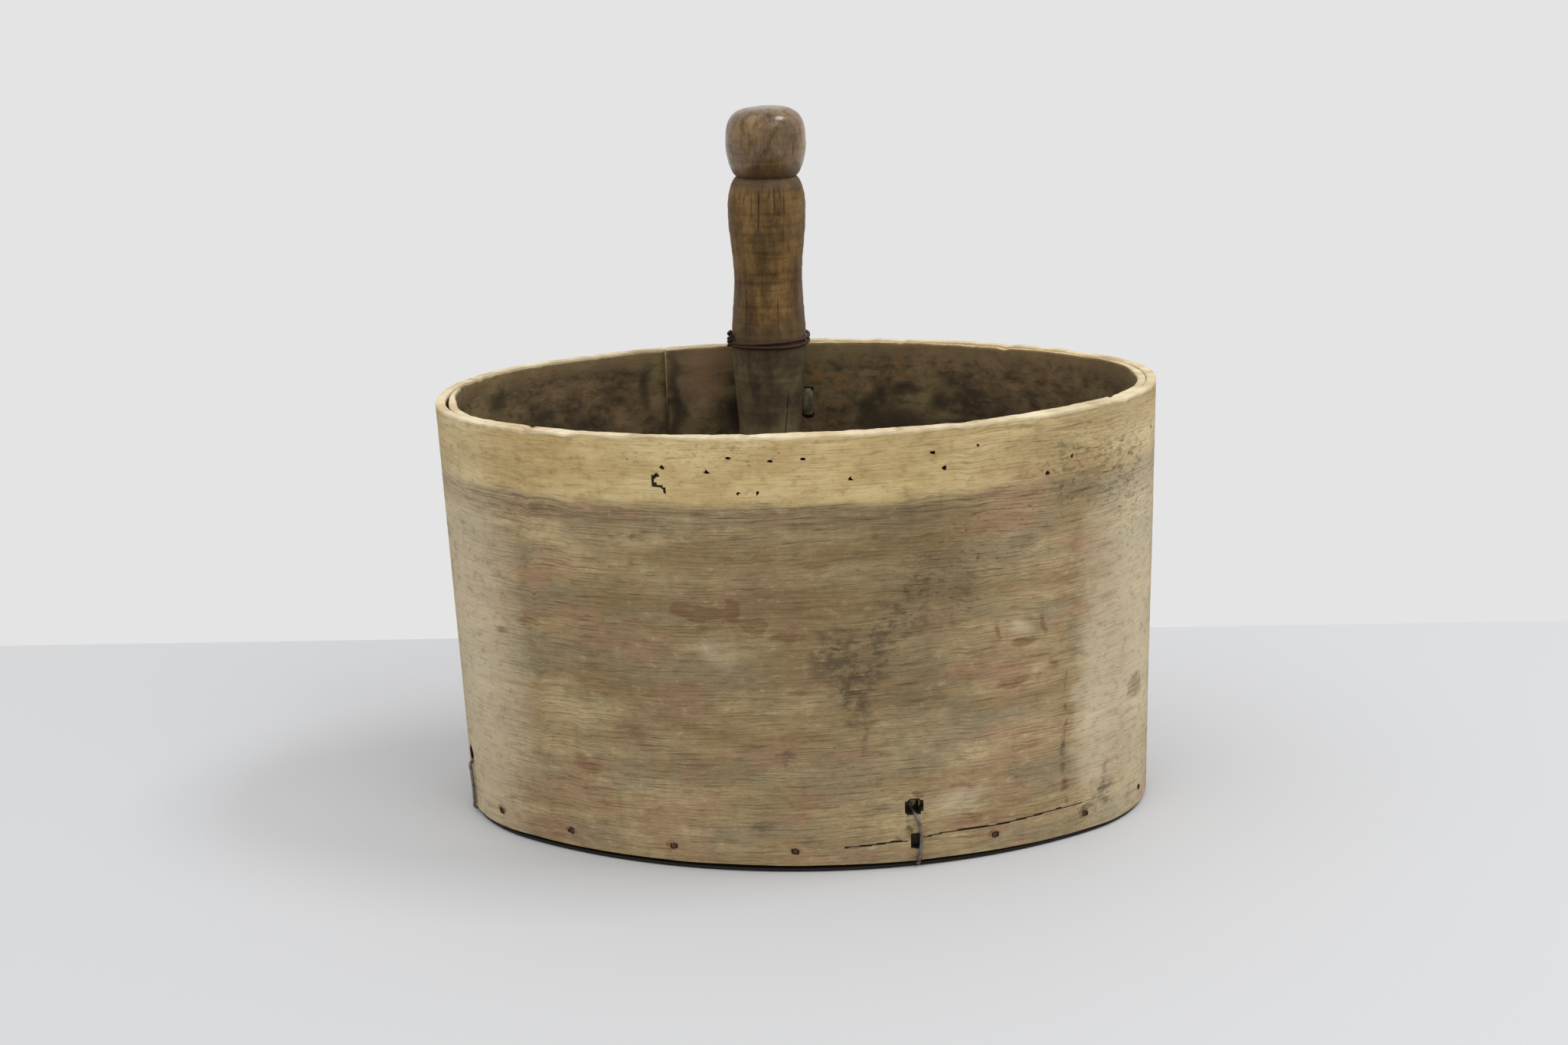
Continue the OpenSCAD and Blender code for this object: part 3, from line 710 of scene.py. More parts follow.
GRIME_ZONES = [(-92, 128, 75, 52, 1.0), (-76, 120, 45, 60, 0.9), (-110, 105, 40, 60, 0.6), (-84, 80, 40, 40, 0.7),
               (-100, 60, 60, 40, 0.3), (20, 100, 60, 70, 0.5), (110, 100, 90, 60, 0.6)]
# Dark marks on the inner band's inner face, mostly soot; the tall narrow mark at 89.8, between the handle and the
# root stitch, is a painted shadow
INNER_SOOT_AND_SHADOW = [(80, 160, 6, 9, 0.75), (78, 168, 8, 6, 0.8), (74, 171, 12, 4, 0.8), (70, 166, 7, 8, 0.8),
              (75, 152, 24, 14, 0.9), (89.8, 158, 3.4, 16, 1.0), (98, 158, 10, 14, 0.8), (107, 150, 5, 60, 0.8),
              (60, 158, 26, 16, 0.7), (40, 160, 34, 18, 0.6), (25, 165, 30, 20, 0.4), (-30, 100, 40, 30, 0.4),
              (-90, 80, 60, 30, 0.4)]
INNER_RUST = [(87, 178, 7, 10, 1.0), (84, 172, 9, 8, 0.7), (90, 184, 6, 6, 0.8), (76, 180, 30, 8, 0.55),
              (55, 180, 40, 9, 0.45), (102, 176, 14, 6, 0.6)]
INNER_PALE = [(103, 176, 15, 18, 0.6), (101, 186, 20, 8, 0.6)]
# Dark marks on the outer band's inner face: soot, and at 111 a painted shadow beside the inner band's square end
OUTER_BACK_SOOT_AND_SHADOW = [(141, 176, 8, 7, 0.9), (127, 166, 12, 8, 0.6), (111, 172, 5, 16, 0.7), (150, 184, 12, 5, 0.4)]
# Dark marks round the front tie, between its hole and the lost nail's
TIE_DARK_MARKS = [(-77.8, 19.5, 3.4, 8, 0.95), (-76.2, 22, 2.2, 6, 0.6), (-79.5, 14, 3.2, 4, 0.7), (-77.4, 4, 4, 4, 0.8)]

# Splinters lost below the rim: direction, height, half length, half height, depth
FLAKES = [(-116, 188.2, 17, 1.2, 0.45), (-106, 188.9, 13, 0.9, 0.35), (-84.5, 189.3, 13, 1.0, 0.4),
          (-66, 189.4, 16, 1.3, 0.5), (-55, 186, 9, 1.5, 0.4), (-136, 187.5, 8, 1.4, 0.4), (-20, 188, 12, 1.3, 0.5),
          (40, 189, 15, 1.2, 0.5), (100, 189, 18, 1.2, 0.5), (150, 187, 14, 1.6, 0.5), (-73, 181, 10, 0.8, 0.3),
          (-100, 12, 12, 0.8, 0.3)]
# Nicks in the rim: direction, half width, depth
RIM_NICKS = [(-124, 2.4, 0.9), (-118, 7, 0.4), (-96, 3, 0.3), (-70, 8, 0.4), (-40, 4, 0.7), (-20, 3, 0.5),
             (60, 5, 0.8), (75, 3, 0.6), (118, 4, 0.7), (150, 3, 0.5), (188, 3, 0.8)]
# How far the rim rises or dips from the level of the CAD rim: direction, rise
RIM_RISES = [(-180, 0), (-140, 0.3), (-90, 1.1), (-50, 0.3), (0, -0.6), (45, -1.6), (80, -0.5), (130, 0.6),
             (180, 0)]
# How wide the pale worn part of the rim is, from the outer face: direction, width
RIM_WORN = [(-180, 9.5), (0, 9.5), (20, 7.5), (40, 5.2), (95, 4.8), (104, 7.5), (150, 6), (165, 9.5), (180, 9.5)]
# How far the foot of the outer band is worn away: direction, height
FOOT_WEAR = [(-180, 0.3), (-150, 0.5), (-125, 1.1), (-85, 1.2), (-65, 0.7), (-45, 0.1), (60, 0.1), (180, 0.3)]


def marks(s, down, entries):
    """Strength of a list of oval marks, with wandering edges, at distances along the rim and down from it."""
    total = np.zeros_like(s)
    if not entries:
        return total
    wander_s = 3.0 * MM * lattice(s, down, 13 * MM, 8 * MM, 71) + 1.4 * MM * lattice(s, down, 5 * MM, 3 * MM, 72)
    wander_d = 2.2 * MM * lattice(s, down, 12 * MM, 7 * MM, 73) + 1.0 * MM * lattice(s, down, 4 * MM, 3 * MM, 74)
    for direction, height, half_l, half_h, strength in entries:
        apart = outline.apart(s, direction)
        centre = WALL_HEIGHT - lean_z(direction, height * MM)
        near = (np.abs(apart) < half_l * MM + 6 * MM) & (np.abs(down - centre) < half_h * MM + 5 * MM)
        share = min(1, min(half_l, half_h) / 5)
        u = (apart[near] + wander_s[near] * share) / (half_l * MM)
        v = (down[near] - centre + wander_d[near] * share) / (half_h * MM)
        here = min(strength, 1) * np.clip(1 - u * u - v * v, 0, 1)
        total[near] = 1 - (1 - total[near]) * (1 - here)
    return total


def flakes(s, down):
    """Depth of the places where splinters are lost, with steep edges."""
    total = np.zeros_like(s)
    for direction, height, half_l, half_h, depth in FLAKES:
        here = marks(s, down, [(direction, height, half_l, half_h, 1.0)])
        total = np.maximum(total, depth * MM * np.minimum(4 * here, 1))
    return total


def band(name, layers, foot, drop, start, end, columns, rows_out, rows_in, seed, stains, bare="out"):
    """A bent strip whose section runs up its outer face, over the rim and down its inner face.

    layers gives its outer and inner depth at distances along the rim, and bare is its face that shows.
    """
    s = np.linspace(start, end, columns)
    dirs = outline.direction(s)
    near, far = layers(s)
    thick = far - near
    arcs = np.array([arc_of(d) for d in dirs])
    cx, cy, radius = arcs[:, 0], arcs[:, 1], arcs[:, 2]
    cos, sin = np.cos(np.radians(dirs)), np.sin(np.radians(dirs))

    flat = np.zeros_like(s)
    wave = 0.30 * MM * lattice(s, flat, 34 * MM, 1, seed) + 0.16 * MM * lattice(s, flat, 6 * MM, 1, seed + 1)
    wave += 0.08 * MM * lattice(s, flat, 1.7 * MM, 1, seed + 2)
    turned = (dirs + 180) % 360 - 180
    wave += MM * np.interp(turned, *zip(*RIM_RISES))
    for direction, half, depth in RIM_NICKS:
        wave -= depth * MM * notch(outline.apart(s, direction), 0, half * MM)
    top = WALL_HEIGHT - drop + wave - 0.2 * MM
    x_out = cx + (radius - draw_at(foot)) * cos
    ragged_foot = 0.35 * MM * (1 + lattice(s, flat, 16 * MM, 1, seed + 7)) / 2
    ragged_foot += MM * np.interp(turned, *zip(*FOOT_WEAR))
    bottom = (foot - x_out * math.sin(WALL_LEAN)) / math.cos(WALL_LEAN) + ragged_foot

    # Across the rim: share of the thickness, and share of the eased edge below the top
    ease = np.minimum(0.9 * MM, thick * 0.3)
    rim = [(0.05, 0.28), (0.18, 0.02), (0.5, 0.0), (0.82, 0.02), (0.95, 0.28)]
    count = rows_out + len(rim) + rows_in
    z = np.empty((columns, count))
    across = np.empty((columns, count))
    z[:, :rows_out] = bottom[:, None] + (top - ease - bottom)[:, None] * spaced_rows(rows_out)
    across[:, :rows_out] = 0
    for k, (share, below) in enumerate(rim):
        z[:, rows_out + k] = top - below * ease
        across[:, rows_out + k] = share
    z[:, rows_out + 2] -= 0.12 * MM * (1 + lattice(s, flat, 3 * MM, 1, seed + 3))
    z[:, -rows_in:] = bottom[:, None] + (top - ease - bottom)[:, None] * spaced_rows(rows_in)[::-1]
    across[:, -rows_in:] = 1
    depth = near[:, None] + thick[:, None] * across

    ss = np.repeat(s[:, None], count, 1)
    down = np.maximum(top[:, None] - z, 0)
    relief = 0.04 * MM * lattice(ss, z, 30 * MM, 2.2 * MM, seed + 4) - 0.05 * MM
    relief += 0.22 * MM * lattice(ss, z, 9 * MM, 5 * MM, seed + 6) * np.exp(-down / (5 * MM))
    sway = 0.15 * MM * lattice(ss, z, 90 * MM, 60 * MM, 5)
    if bare == "out":
        shown = np.where(across < 0.1, 1.0, 0.0)
        out = (relief - flakes(ss, down)) * shown + sway
    else:
        shown = np.where(across > 0.9, 1.0, 0.0)
        out = np.abs(relief) * shown + sway
    reach = radius[:, None] - depth - draw_at(z) + out
    x, y, zz = to_frame(cx[:, None] + reach * cos[:, None], cy[:, None] + reach * sin[:, None], z)
    points = np.stack([x, y, np.maximum(zz, foot)], -1)

    inside = across.copy()
    for column in (0, -1):
        inside[column] = np.where(down[column] > 2.5 * MM, 1, across[column])
    is_in = across > 0.6
    worn_width = MM * np.interp(turned, *zip(*RIM_WORN))
    stripe = np.interp(turned, [-170, -145, -120, -85, -70, -55, -40, 40, 170],
                       [0.5, 0.6, 0.95, 1.0, 0.75, 0.45, 0.4, 0.7, 0.5])
    values = {
        "grain": np.stack([ss, depth, down], -1),
        "inside": inside,
        "skin": np.ones_like(ss),
        "worn": np.clip((worn_width[:, None] - depth) / (0.8 * MM), 0, 1),
        "stripe": np.repeat(stripe[:, None], count, 1),
    }
    for key, inner_key in (("soot", "inner_soot_and_shadow"), ("ruddy", "inner_rust"), ("pale", "inner_pale")):
        values[key] = np.where(is_in, marks(ss, down, stains[inner_key]), marks(ss, down, stains[key]))
    for key in ("fleck", "grime"):
        values[key] = np.where(is_in, 0, marks(ss, down, stains[key]))
    return grid_object(name, points[:, ::-1], False, True, {k: v[:, ::-1] for k, v in values.items()})


def spaced_rows(count):
    """Heights from 0 to 1 up the wall, closer together at the foot and just below the rim."""
    foot, rim = 0.10, 0.06
    few = count // 6
    low = np.linspace(0, foot, few, endpoint=False)
    middle = np.linspace(foot, 1 - rim, count - 2 * few, endpoint=False)
    return np.concatenate([low, middle, np.linspace(1 - rim, 1, few)])


# Worm holes in the outer band: direction, height, diameter
WORM_HOLES = [(-100.5, 177.2, 1.5), (-98, 183.4, 1.2), (-93.2, 182.2, 1.2), (-89.5, 183, 1.2), (-84.2, 173.9, 1.2),
              (-74.5, 183.1, 1.5), (-73.2, 176.2, 1.3), (-105.8, 178.8, 1.1), (-97, 168.5, 0.9), (-94.8, 168.6, 1.1),
              (-69, 184.5, 1.0), (-59.8, 168.6, 1.2), (-56.2, 174.3, 1.1), (-20, 176, 1.3), (35, 171, 1.4),
              (62, 180, 1.2), (97, 174, 1.3), (150, 179, 1.4)]
# How much of that diameter is still open, with the hole's edge worn
WORM_SHARE = 0.85
# A split from the lost nail along the grain, each way: direction, height
SPLIT_RIGHT = [(-76.4, 13.2), (-74, 14.2), (-71, 14.6), (-67, 14.2), (-63, 14.8), (-58, 15.6), (-54, 15.2)]
SPLIT_LEFT = [(-78.5, 12.2), (-80, 12.4), (-83, 11.6), (-86, 11.0)]
# A beetle's track under the rim
TRACK = [(-106.4, 175.6), (-106.9, 173.6), (-106.8, 171.2), (-106.2, 170.2), (-105.6, 169.8), (-105.5, 167.4)]


def outer_band(wood):
    """The outer band, whose two ends lap in a long scarf joint at the back."""
    lap = 11 * MM

    def layers(s):
        tip = np.clip((s + lap) / (2 * lap), 0.07, 1)
        tail = np.clip((s - outline.length + lap) / (2 * lap), 0, 0.93)
        near = np.where(tail > 0, OUTER_T * tail + WOOD_GAP / 2, 0)
        return near, OUTER_T * tip - np.where(tip < 1, WOOD_GAP / 2, 0)

    nail_rust = [(direction, NAIL_Z / MM, 4.6, 2.6, 0.7) for direction in NAIL_DIRS]
    stains = {"soot": SOOT_MARKS + TIE_DARK_MARKS, "ruddy": RUDDY_MARKS + nail_rust, "fleck": FLECK_ZONES,
              "pale": PALE_ZONES, "grime": GRIME_ZONES, "inner_soot_and_shadow": OUTER_BACK_SOOT_AND_SHADOW, "inner_rust": INNER_RUST,
              "inner_pale": []}
    obj = band("outer_band_wood", layers, BOARD_PROUD, 0.0, -lap, outline.length + lap, 720, 220, 50, 3, stains)
    holes = [ragged_hole(direction, TIE_HOLE_Z, TIE_HOLE_D, TIE_HOLE_D * 0.92, 12 * MM, 40 + k)
             for k, direction in enumerate(TIE_DIRS.values())]
    holes.append(ragged_hole(LOST_NAIL_DIR, NAIL_Z + 2 * MM, 4.6 * MM, 6.4 * MM, 12 * MM, 60,
                             sides=16, square=6, rough=0.08))
    for k, (direction, z, size) in enumerate(WORM_HOLES):
        wide = WORM_SHARE * size * MM
        holes.append(ragged_hole(direction, z * MM, wide, wide, 3 * MM, 70 + k, sides=9, rough=0.1))
    for k, direction in enumerate(NAIL_DIRS):
        holes.append(ragged_hole(direction, NAIL_Z, 2.6 * MM, 2.4 * MM, 0.8 * MM, 20 + k, sides=11, rough=0.22))
    cut(obj, holes + stitch_and_nail_holes())
    cut(obj, [split_cutter([(d, z * MM) for d, z in SPLIT_RIGHT], 0.2 * MM, 2.2 * MM),
              split_cutter([(d, z * MM) for d, z in SPLIT_LEFT], 0.2 * MM, 2.2 * MM),
              track_cutter([(d, z * MM) for d, z in TRACK], 0.17 * MM, 0.8 * MM)])
    dress(obj, wood, "outer_band")


def inner_band(wood):
    """The inner band, from its thin end at the left round the front to its square end at the back."""
    start = outline.along(THIN_END_DIR)
    end = outline.length + outline.along(SQUARE_END_DIR)
    run = outline.along(THIN_END_DIR + THIN_END_RUN) - start

    def layers(s):
        share = 0.14 + 0.86 * np.clip((s - start) / run, 0, 1)
        bulge = 1.1 * MM * notch(s, outline.along(186), 28 * MM)
        return INNER_OFF + bulge, INNER_OFF + bulge + INNER_T * share

    stains = {"soot": [], "ruddy": [], "fleck": [], "pale": [], "grime": [],
              "inner_soot_and_shadow": INNER_SOOT_AND_SHADOW, "inner_rust": INNER_RUST, "inner_pale": INNER_PALE}
    obj = band("inner_band_wood", layers, inner_low.z, 0.4 * MM, start, end, 640, 50, 190, 23, stains, bare="in")
    holes = [ragged_hole(direction, TIE_HOLE_Z, 6.2 * MM, 6 * MM, 14 * MM, 90 + k)
             for k, direction in enumerate(TIE_DIRS.values())]
    cut(obj, holes + stitch_and_nail_holes())
    dress(obj, wood, "inner_band")


def stitch_and_nail_holes():
    """Cutters for the root lacing and for the handle's nails, through both bands."""
    holes = []
    for k, z in enumerate(STITCH_HEIGHTS):
        for end in (-1, 1):
            holes.append(ragged_hole(SCARF_DIR, z + end * STITCH_REACH, STITCH_WIDTH * 1.1, 3.2 * MM, 14 * MM,
                                     110 + 2 * k + end, square=2.6))
    for k, z in enumerate(HANDLE_NAIL_HEIGHTS):
        holes.append(ragged_hole(handle_dir(z), z, 3.3 * MM, 3.3 * MM, 14 * MM, 130 + k, rough=0.05))
    return holes


def handle_dir(z):
    """Direction of the wall just behind the handle."""
    across = (HANDLE_X - CENTER_X + z * math.sin(WALL_LEAN)) / (SIDE_RADIUS - draw_at(z))
    return math.degrees(math.acos(across))


def dress(obj, material, node_name):
    """Gives a finished piece its material and puts it in place of a CAD node."""
    obj.data.materials.append(material)
    smooth(obj, 45)
    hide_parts(node_name)
    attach(obj, "root")


# ---- Handle ----

KNOB_R = (handle_high.x - handle_low.x) / 2
NECK_R, SHOULDER_R, WAIST_R, BOUND_R, SHANK_R, FOOT_R = (r * MM for r in (14.1, 18.5, 16.3, 17.9, 15.3, 14.5))
KNOB_Z = NECK_Z + 15 * MM
# Roundness of the knob's underside and top, 2 for an ellipse and more for a squarer shape
UNDER_POWER = 1.6
OVER_POWER = 3.3


def swell(a, b, t):
    """Eases from a to b."""
    return a + (b - a) * (1 - np.cos(np.pi * t)) / 2


def handle_radius(z):
    """The turned outline: shank, grip with a waist, quarter-round shoulder, neck and squarish knob."""
    stops = [(handle_low.z, FOOT_R), (150 * MM, SHANK_R), (BOUND_Z, BOUND_R), (BOUND_Z + 30 * MM, WAIST_R),
             (BOUND_Z + 63 * MM, SHOULDER_R)]
    r = np.full_like(z, FOOT_R)
    for (z0, r0), (z1, r1) in zip(stops, stops[1:]):
        t = np.clip((z - z0) / (z1 - z0), 0, 1)
        r = np.where(z >= z0, swell(r0, r1, t), r)
    shoulder_z = BOUND_Z + 63 * MM
    t = np.clip((z - shoulder_z) / (NECK_Z - shoulder_z), 0, 1)
    r = np.where(z >= shoulder_z, NECK_R + (SHOULDER_R - NECK_R) * (1 - t ** 2.2) ** 0.7, r)
    under = np.clip((KNOB_Z - z) / (KNOB_Z - NECK_Z), 0, 1)
    r = np.where(z >= NECK_Z, NECK_R + (KNOB_R - NECK_R) * (1 - under ** UNDER_POWER) ** (1 / UNDER_POWER), r)
    over = np.clip((z - KNOB_Z) / (handle_high.z - KNOB_Z), 0, 1)
    return np.where(z >= KNOB_Z, KNOB_R * (1 - over ** OVER_POWER) ** (1 / OVER_POWER), r)


# Drying cracks: direction round the handle, lowest and highest point, depth, half width
HANDLE_CRACKS = [(-100, 247, 272, 0.7, 1.1), (-116, 252, 271, 0.5, 1.0), (-62, 254, 272, 0.6, 1.0),
                 (-80, 256, 274, 0.7, 1.2), (-88, 262, 274, 0.5, 1.0), (-70, 262, 273, 0.5, 0.9),
                 (-125, 260, 272, 0.5, 0.9), (-48, 284, 298, 0.5, 1.2), (-92, 283, 294, 0.5, 1.0),
                 (-130, 200, 226, 0.5, 1.0), (-74, 203, 222, 0.4, 0.9), (70, 205, 272, 0.9, 1.5),
                 (150, 210, 262, 0.7, 1.4), (20, 235, 268, 0.6, 1.2), (-108, 60, 150, 0.8, 1.4),
                 (-60, 100, 176, 0.7, 1.3)]
# Dark lines left by the turning tool: height, half width, strength
TURNED_LINES = [(259, 1.3, 0.8), (253.5, 1.2, 0.7), (240.5, 1.5, 0.8), (230.5, 1.2, 0.9), (225.5, 1.7, 1.0),
                (246, 1.0, 0.4), (214, 1.2, 0.5), (208, 1.0, 0.4)]


def handle(wood):
    """The turned handle, slightly uneven, with drying cracks and its back cut flat to the wall below the rim."""
    rows, columns, crown = 420, 300, 26
    rise = np.linspace(handle_low.z, KNOB_Z, rows, endpoint=False)
    bend = np.sin(np.linspace(0, np.pi / 2, crown * 2))
    z = np.concatenate([rise, KNOB_Z + (handle_high.z - KNOB_Z) * bend])[:, None]
    theta = np.linspace(0, 2 * np.pi, columns, endpoint=False)[None]
    zz, tt = np.broadcast_arrays(z, theta)
    r = np.maximum(handle_radius(zz), 0.25 * MM)
    size = np.clip(r / NECK_R, 0, 1)
    knob = np.clip((zz - NECK_Z - 4 * MM) / (8 * MM), 0, 1)
    around = np.sin(tt) * 18 * MM
    wobble = 0.24 * MM * lattice(np.cos(tt) * 18 * MM, zz + around, 13 * MM, 15 * MM, 51)
    tool = 0.10 * MM * lattice(around * 0, zz, 1, 2.1 * MM, 52)
    r = r + (wobble + tool * (1 - knob)) * size
    r = r - 0.4 * MM * knob * size * (1 - np.cos(4 * tt)) / 2
    crack, ring = np.zeros_like(r), np.zeros_like(r)
    for height, half, strength in TURNED_LINES:
        sway = 0.5 * MM * np.sin(tt + height)
        line = strength * notch(zz + sway, height * MM, half * MM)
        ring = np.maximum(ring, line)
        r = r - 0.12 * MM * line
    for k, (direction, z0, z1, depth, half) in enumerate(HANDLE_CRACKS):
        a = math.radians(direction) + 0.05 * lattice(zz, zz * 0, 9 * MM, 1, 60 + k)
        apart = np.abs((tt - a + np.pi) % (2 * np.pi) - np.pi) * 18 * MM
        run = np.clip(np.minimum(zz - z0 * MM, z1 * MM - zz) / (6 * MM), 0, 1)
        here = np.clip(1 - apart / (half * 0.36 * MM), 0, 1) * run
        crack = np.maximum(crack, here * 0.8)
        r = r - depth * MM * here
    tilt = 0.012 * np.maximum(zz - KNOB_Z, 0) * np.cos(tt)
    x, y = HANDLE_X + r * np.cos(tt), HANDLE_Y + r * np.sin(tt)
    wall_x = x - CENTER_X + zz * math.sin(WALL_LEAN)
    wall_y = np.sqrt((SIDE_RADIUS - WALL_T - WOOD_GAP - draw_at(zz)) ** 2 - wall_x ** 2) - SIDE_OFF + CENTER_Y
    y = np.where(zz < WALL_HEIGHT, np.minimum(y, wall_y), y)
    points = np.stack([x, y, np.minimum(zz + tilt, handle_high.z)], -1).transpose(1, 0, 2)
    obj = grid_object("handle_wood", points, True, False, {"turn": points.copy(), "crack": crack.T, "ring": ring.T})
    dress(obj, wood, "handle")


# ---- Wires ----


def wire(name, points, diameter, material, closed=False, resolution=6):
    """A round wire through given points."""
    curve = bpy.data.curves.new(name, "CURVE")
    curve.dimensions = "3D"
    curve.bevel_depth = diameter / 2
    curve.bevel_resolution = 4
    curve.resolution_u = resolution
    curve.use_fill_caps = True
    spline = curve.splines.new("BEZIER")
    spline.bezier_points.add(len(points) - 1)
    for knot, p in zip(spline.bezier_points, points):
        knot.co = p
        knot.handle_left_type = knot.handle_right_type = "AUTO"
    spline.use_cyclic_u = closed
    obj = bpy.data.objects.new(name, curve)
    bpy.context.scene.collection.objects.link(obj)
    curve.materials.append(material)
    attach(obj, "root")
    return obj


def twist(start, along, side, length, radius, turns, phase):
    """Points of one strand of a twisted pair."""
    up = along.cross(side).normalized()
    points = []
    steps = int(turns * 8)
    for k in range(steps + 1):
        a = phase + 2 * math.pi * turns * k / steps
        offset = side * math.cos(a) + up * math.sin(a)
        points.append(start + along * (length * k / steps) + offset * radius)
    return points


def tie(name, direction, bow, material):
    """One bottom tie: out through its hole, down, under the band, up through the board, and twisted inside."""
    r = TIE_WIRE_D / 2
    out = r + 0.3 * MM
    inner = -(WALL_T + r + 0.2 * MM)
    low = TIE_LOW_Z
    route = [
        place(direction, TIE_HOLE_Z - 2.0 * MM, inner + 1.5 * MM, 0.2 * MM),
        place(direction, TIE_HOLE_Z - 2.9 * MM, -3 * MM, 0.2 * MM),
        place(direction, TIE_HOLE_Z - 4.0 * MM, out - 0.3 * MM, 0.7 * MM),
        place(direction, TIE_HOLE_Z - 8 * MM, out + 0.2 * MM, bow * 0.75),
        place(direction, TIE_HOLE_Z * 0.5, out + 0.1 * MM, bow),
        place(direction, 5 * MM, out, bow * 0.75),
        place(direction, low + 0.8 * MM, out - 0.1 * MM, bow * 0.5),
        place(direction, low, out - 1.6 * MM, bow * 0.45),
        place(direction, low, inner + 2 * MM, 0),
        place(direction, low + 1.5 * MM, inner, 0),
        place(direction, BOARD_TOP, inner, 0),
        place(direction, BOARD_TOP + 5 * MM, inner - 0.5 * MM, 0),
    ]
    start = place(direction, TIE_HOLE_Z - 1.8 * MM, inner - 0.8 * MM, 0)
    along = (-outward(direction) + Vector((0, 0, 0.55))).normalized()
    side = sideways(direction)
    one = twist(start, along, side, 8.5 * MM, r * 1.05, 2.2, 0)
    two = twist(start, along, side, 7.0 * MM, r * 1.05, 1.8, math.pi)
    first = wire(f"tie_{name}", route + two, TIE_WIRE_D, material)
    wire(f"tie_{name}_end", [route[0]] + one, TIE_WIRE_D, material)
    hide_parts(f"wire_tie_{name}")


def binding(material):
    """The wire round the handle at the rim: two turns that cross in front, and a twisted end at the left."""
    radius = 18.95 * MM
    d = 1.75 * MM
    z = BOUND_Z
    for k, (slope, lift) in enumerate([(-3.4, 0.5), (-1.0, -1.5)]):
        points = []
        for i in range(16):
            a = 2 * math.pi * i / 16
            rise = math.sin(math.radians(-slope)) * radius * math.cos(a)
            wobble = 0.25 * MM * math.sin(3 * a + k)
            points.append(Vector((HANDLE_X + radius * math.cos(a), HANDLE_Y + radius * math.sin(a),
                                  z + lift * MM + rise + wobble)))
        wire(f"binding_turn_{k + 1}", points, d, material, closed=True)
    start = Vector((HANDLE_X - radius + 0.3 * MM, HANDLE_Y - 6 * MM, z - 2.2 * MM))
    along = Vector((0.02, -0.12, 1)).normalized()
    side = Vector((1, 0, 0))
    for k in (0, 1):
        points = twist(start, along, side, (7.5 - k) * MM, 0.8 * MM, 1.9, math.pi * k)
        wire(f"binding_end_{k + 1}", points, 1.5 * MM, material)
    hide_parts("handle_binding")


# ---- Bottom board ----


def bottom_board(material):
    """The board, with a lip that shows under the foot of the outer band; its material paints that lip near-black as
    shade.
    """
    lip = 0.9 * MM
    deep = OUTER_T + WOOD_GAP
    rows = [(0.0, deep), (0.1 * MM, lip + 0.4 * MM), (0.4 * MM, lip), (BOARD_PROUD - 0.2 * MM, lip),
            (BOARD_PROUD - 0.1 * MM, deep), (BOARD_TOP - 0.6 * MM, deep), (BOARD_TOP - 0.1 * MM, deep + 0.4 * MM),
            (BOARD_TOP, deep + 1.2 * MM)]
    dirs = outline.direction(np.linspace(0, outline.length, 360, endpoint=False))
    points = np.array([[tuple(place(d, z, -depth)) for z, depth in rows] for d in dirs])
    obj = grid_object("bottom_board_wood", points, True, False)
    dress(obj, material, "bottom_board")


# ---- Nails and root lacing ----


def nail(name, direction, z, rows, material):
    """A round nail driven into the wall. Each row is a depth in millimetres and the radii round it."""
    axis = -outward(direction)
    across = -sideways(direction)
    up = Vector((0, 0, 1))
    start = place(direction, z)
    points = []
    for depth, ring in rows:
        angles = [2 * math.pi * k / len(ring) for k in range(len(ring))]
        centre = start + axis * depth * MM
        points.append([centre + across * math.cos(a) * r + up * math.sin(a) * r for a, r in zip(angles, ring)])
    obj = grid_object(f"{name}_iron", np.array(points).transpose(1, 0, 2)[::-1], True, False)
    dress(obj, material, name)


def board_nail(index, direction, material):
    """A small hand-cut nail, its lumpy head sunk in a pit in the band."""
    rng = np.random.default_rng(300 + index)
    sides = 14
    head = 1.3 * MM * (1 + 0.14 * rng.uniform(-1, 1, sides))
    shank = np.full(sides, 0.95 * MM)
    rows = [(0.30, head * 0.5), (0.36, head * 0.85), (0.65, head), (1.05, head * 0.9), (1.2, shank),
            (NAIL_LENGTH / MM * 0.8, shank), (NAIL_LENGTH / MM, shank * 0.2)]
    nail(f"board_nail_{index}", direction, NAIL_Z, rows, material)


def handle_nail(name, z, material):
    """A nail through the back wall into the handle, with a worn, slightly domed head."""
    rng = np.random.default_rng(int(z / MM))
    sides = 24
    head = 3.5 * MM * (1 - 0.10 * rng.uniform(0, 1, sides))
    shank = np.full(sides, 1.45 * MM)
    rows = [(-1.5, head * 0.35), (-1.4, head * 0.7), (-0.9, head * 0.97), (-0.3, head), (-0.05, head * 0.95),
            (0.0, shank), (20, shank), (27, shank * 0.2)]
    nail(name, handle_dir(z), z, rows, material)


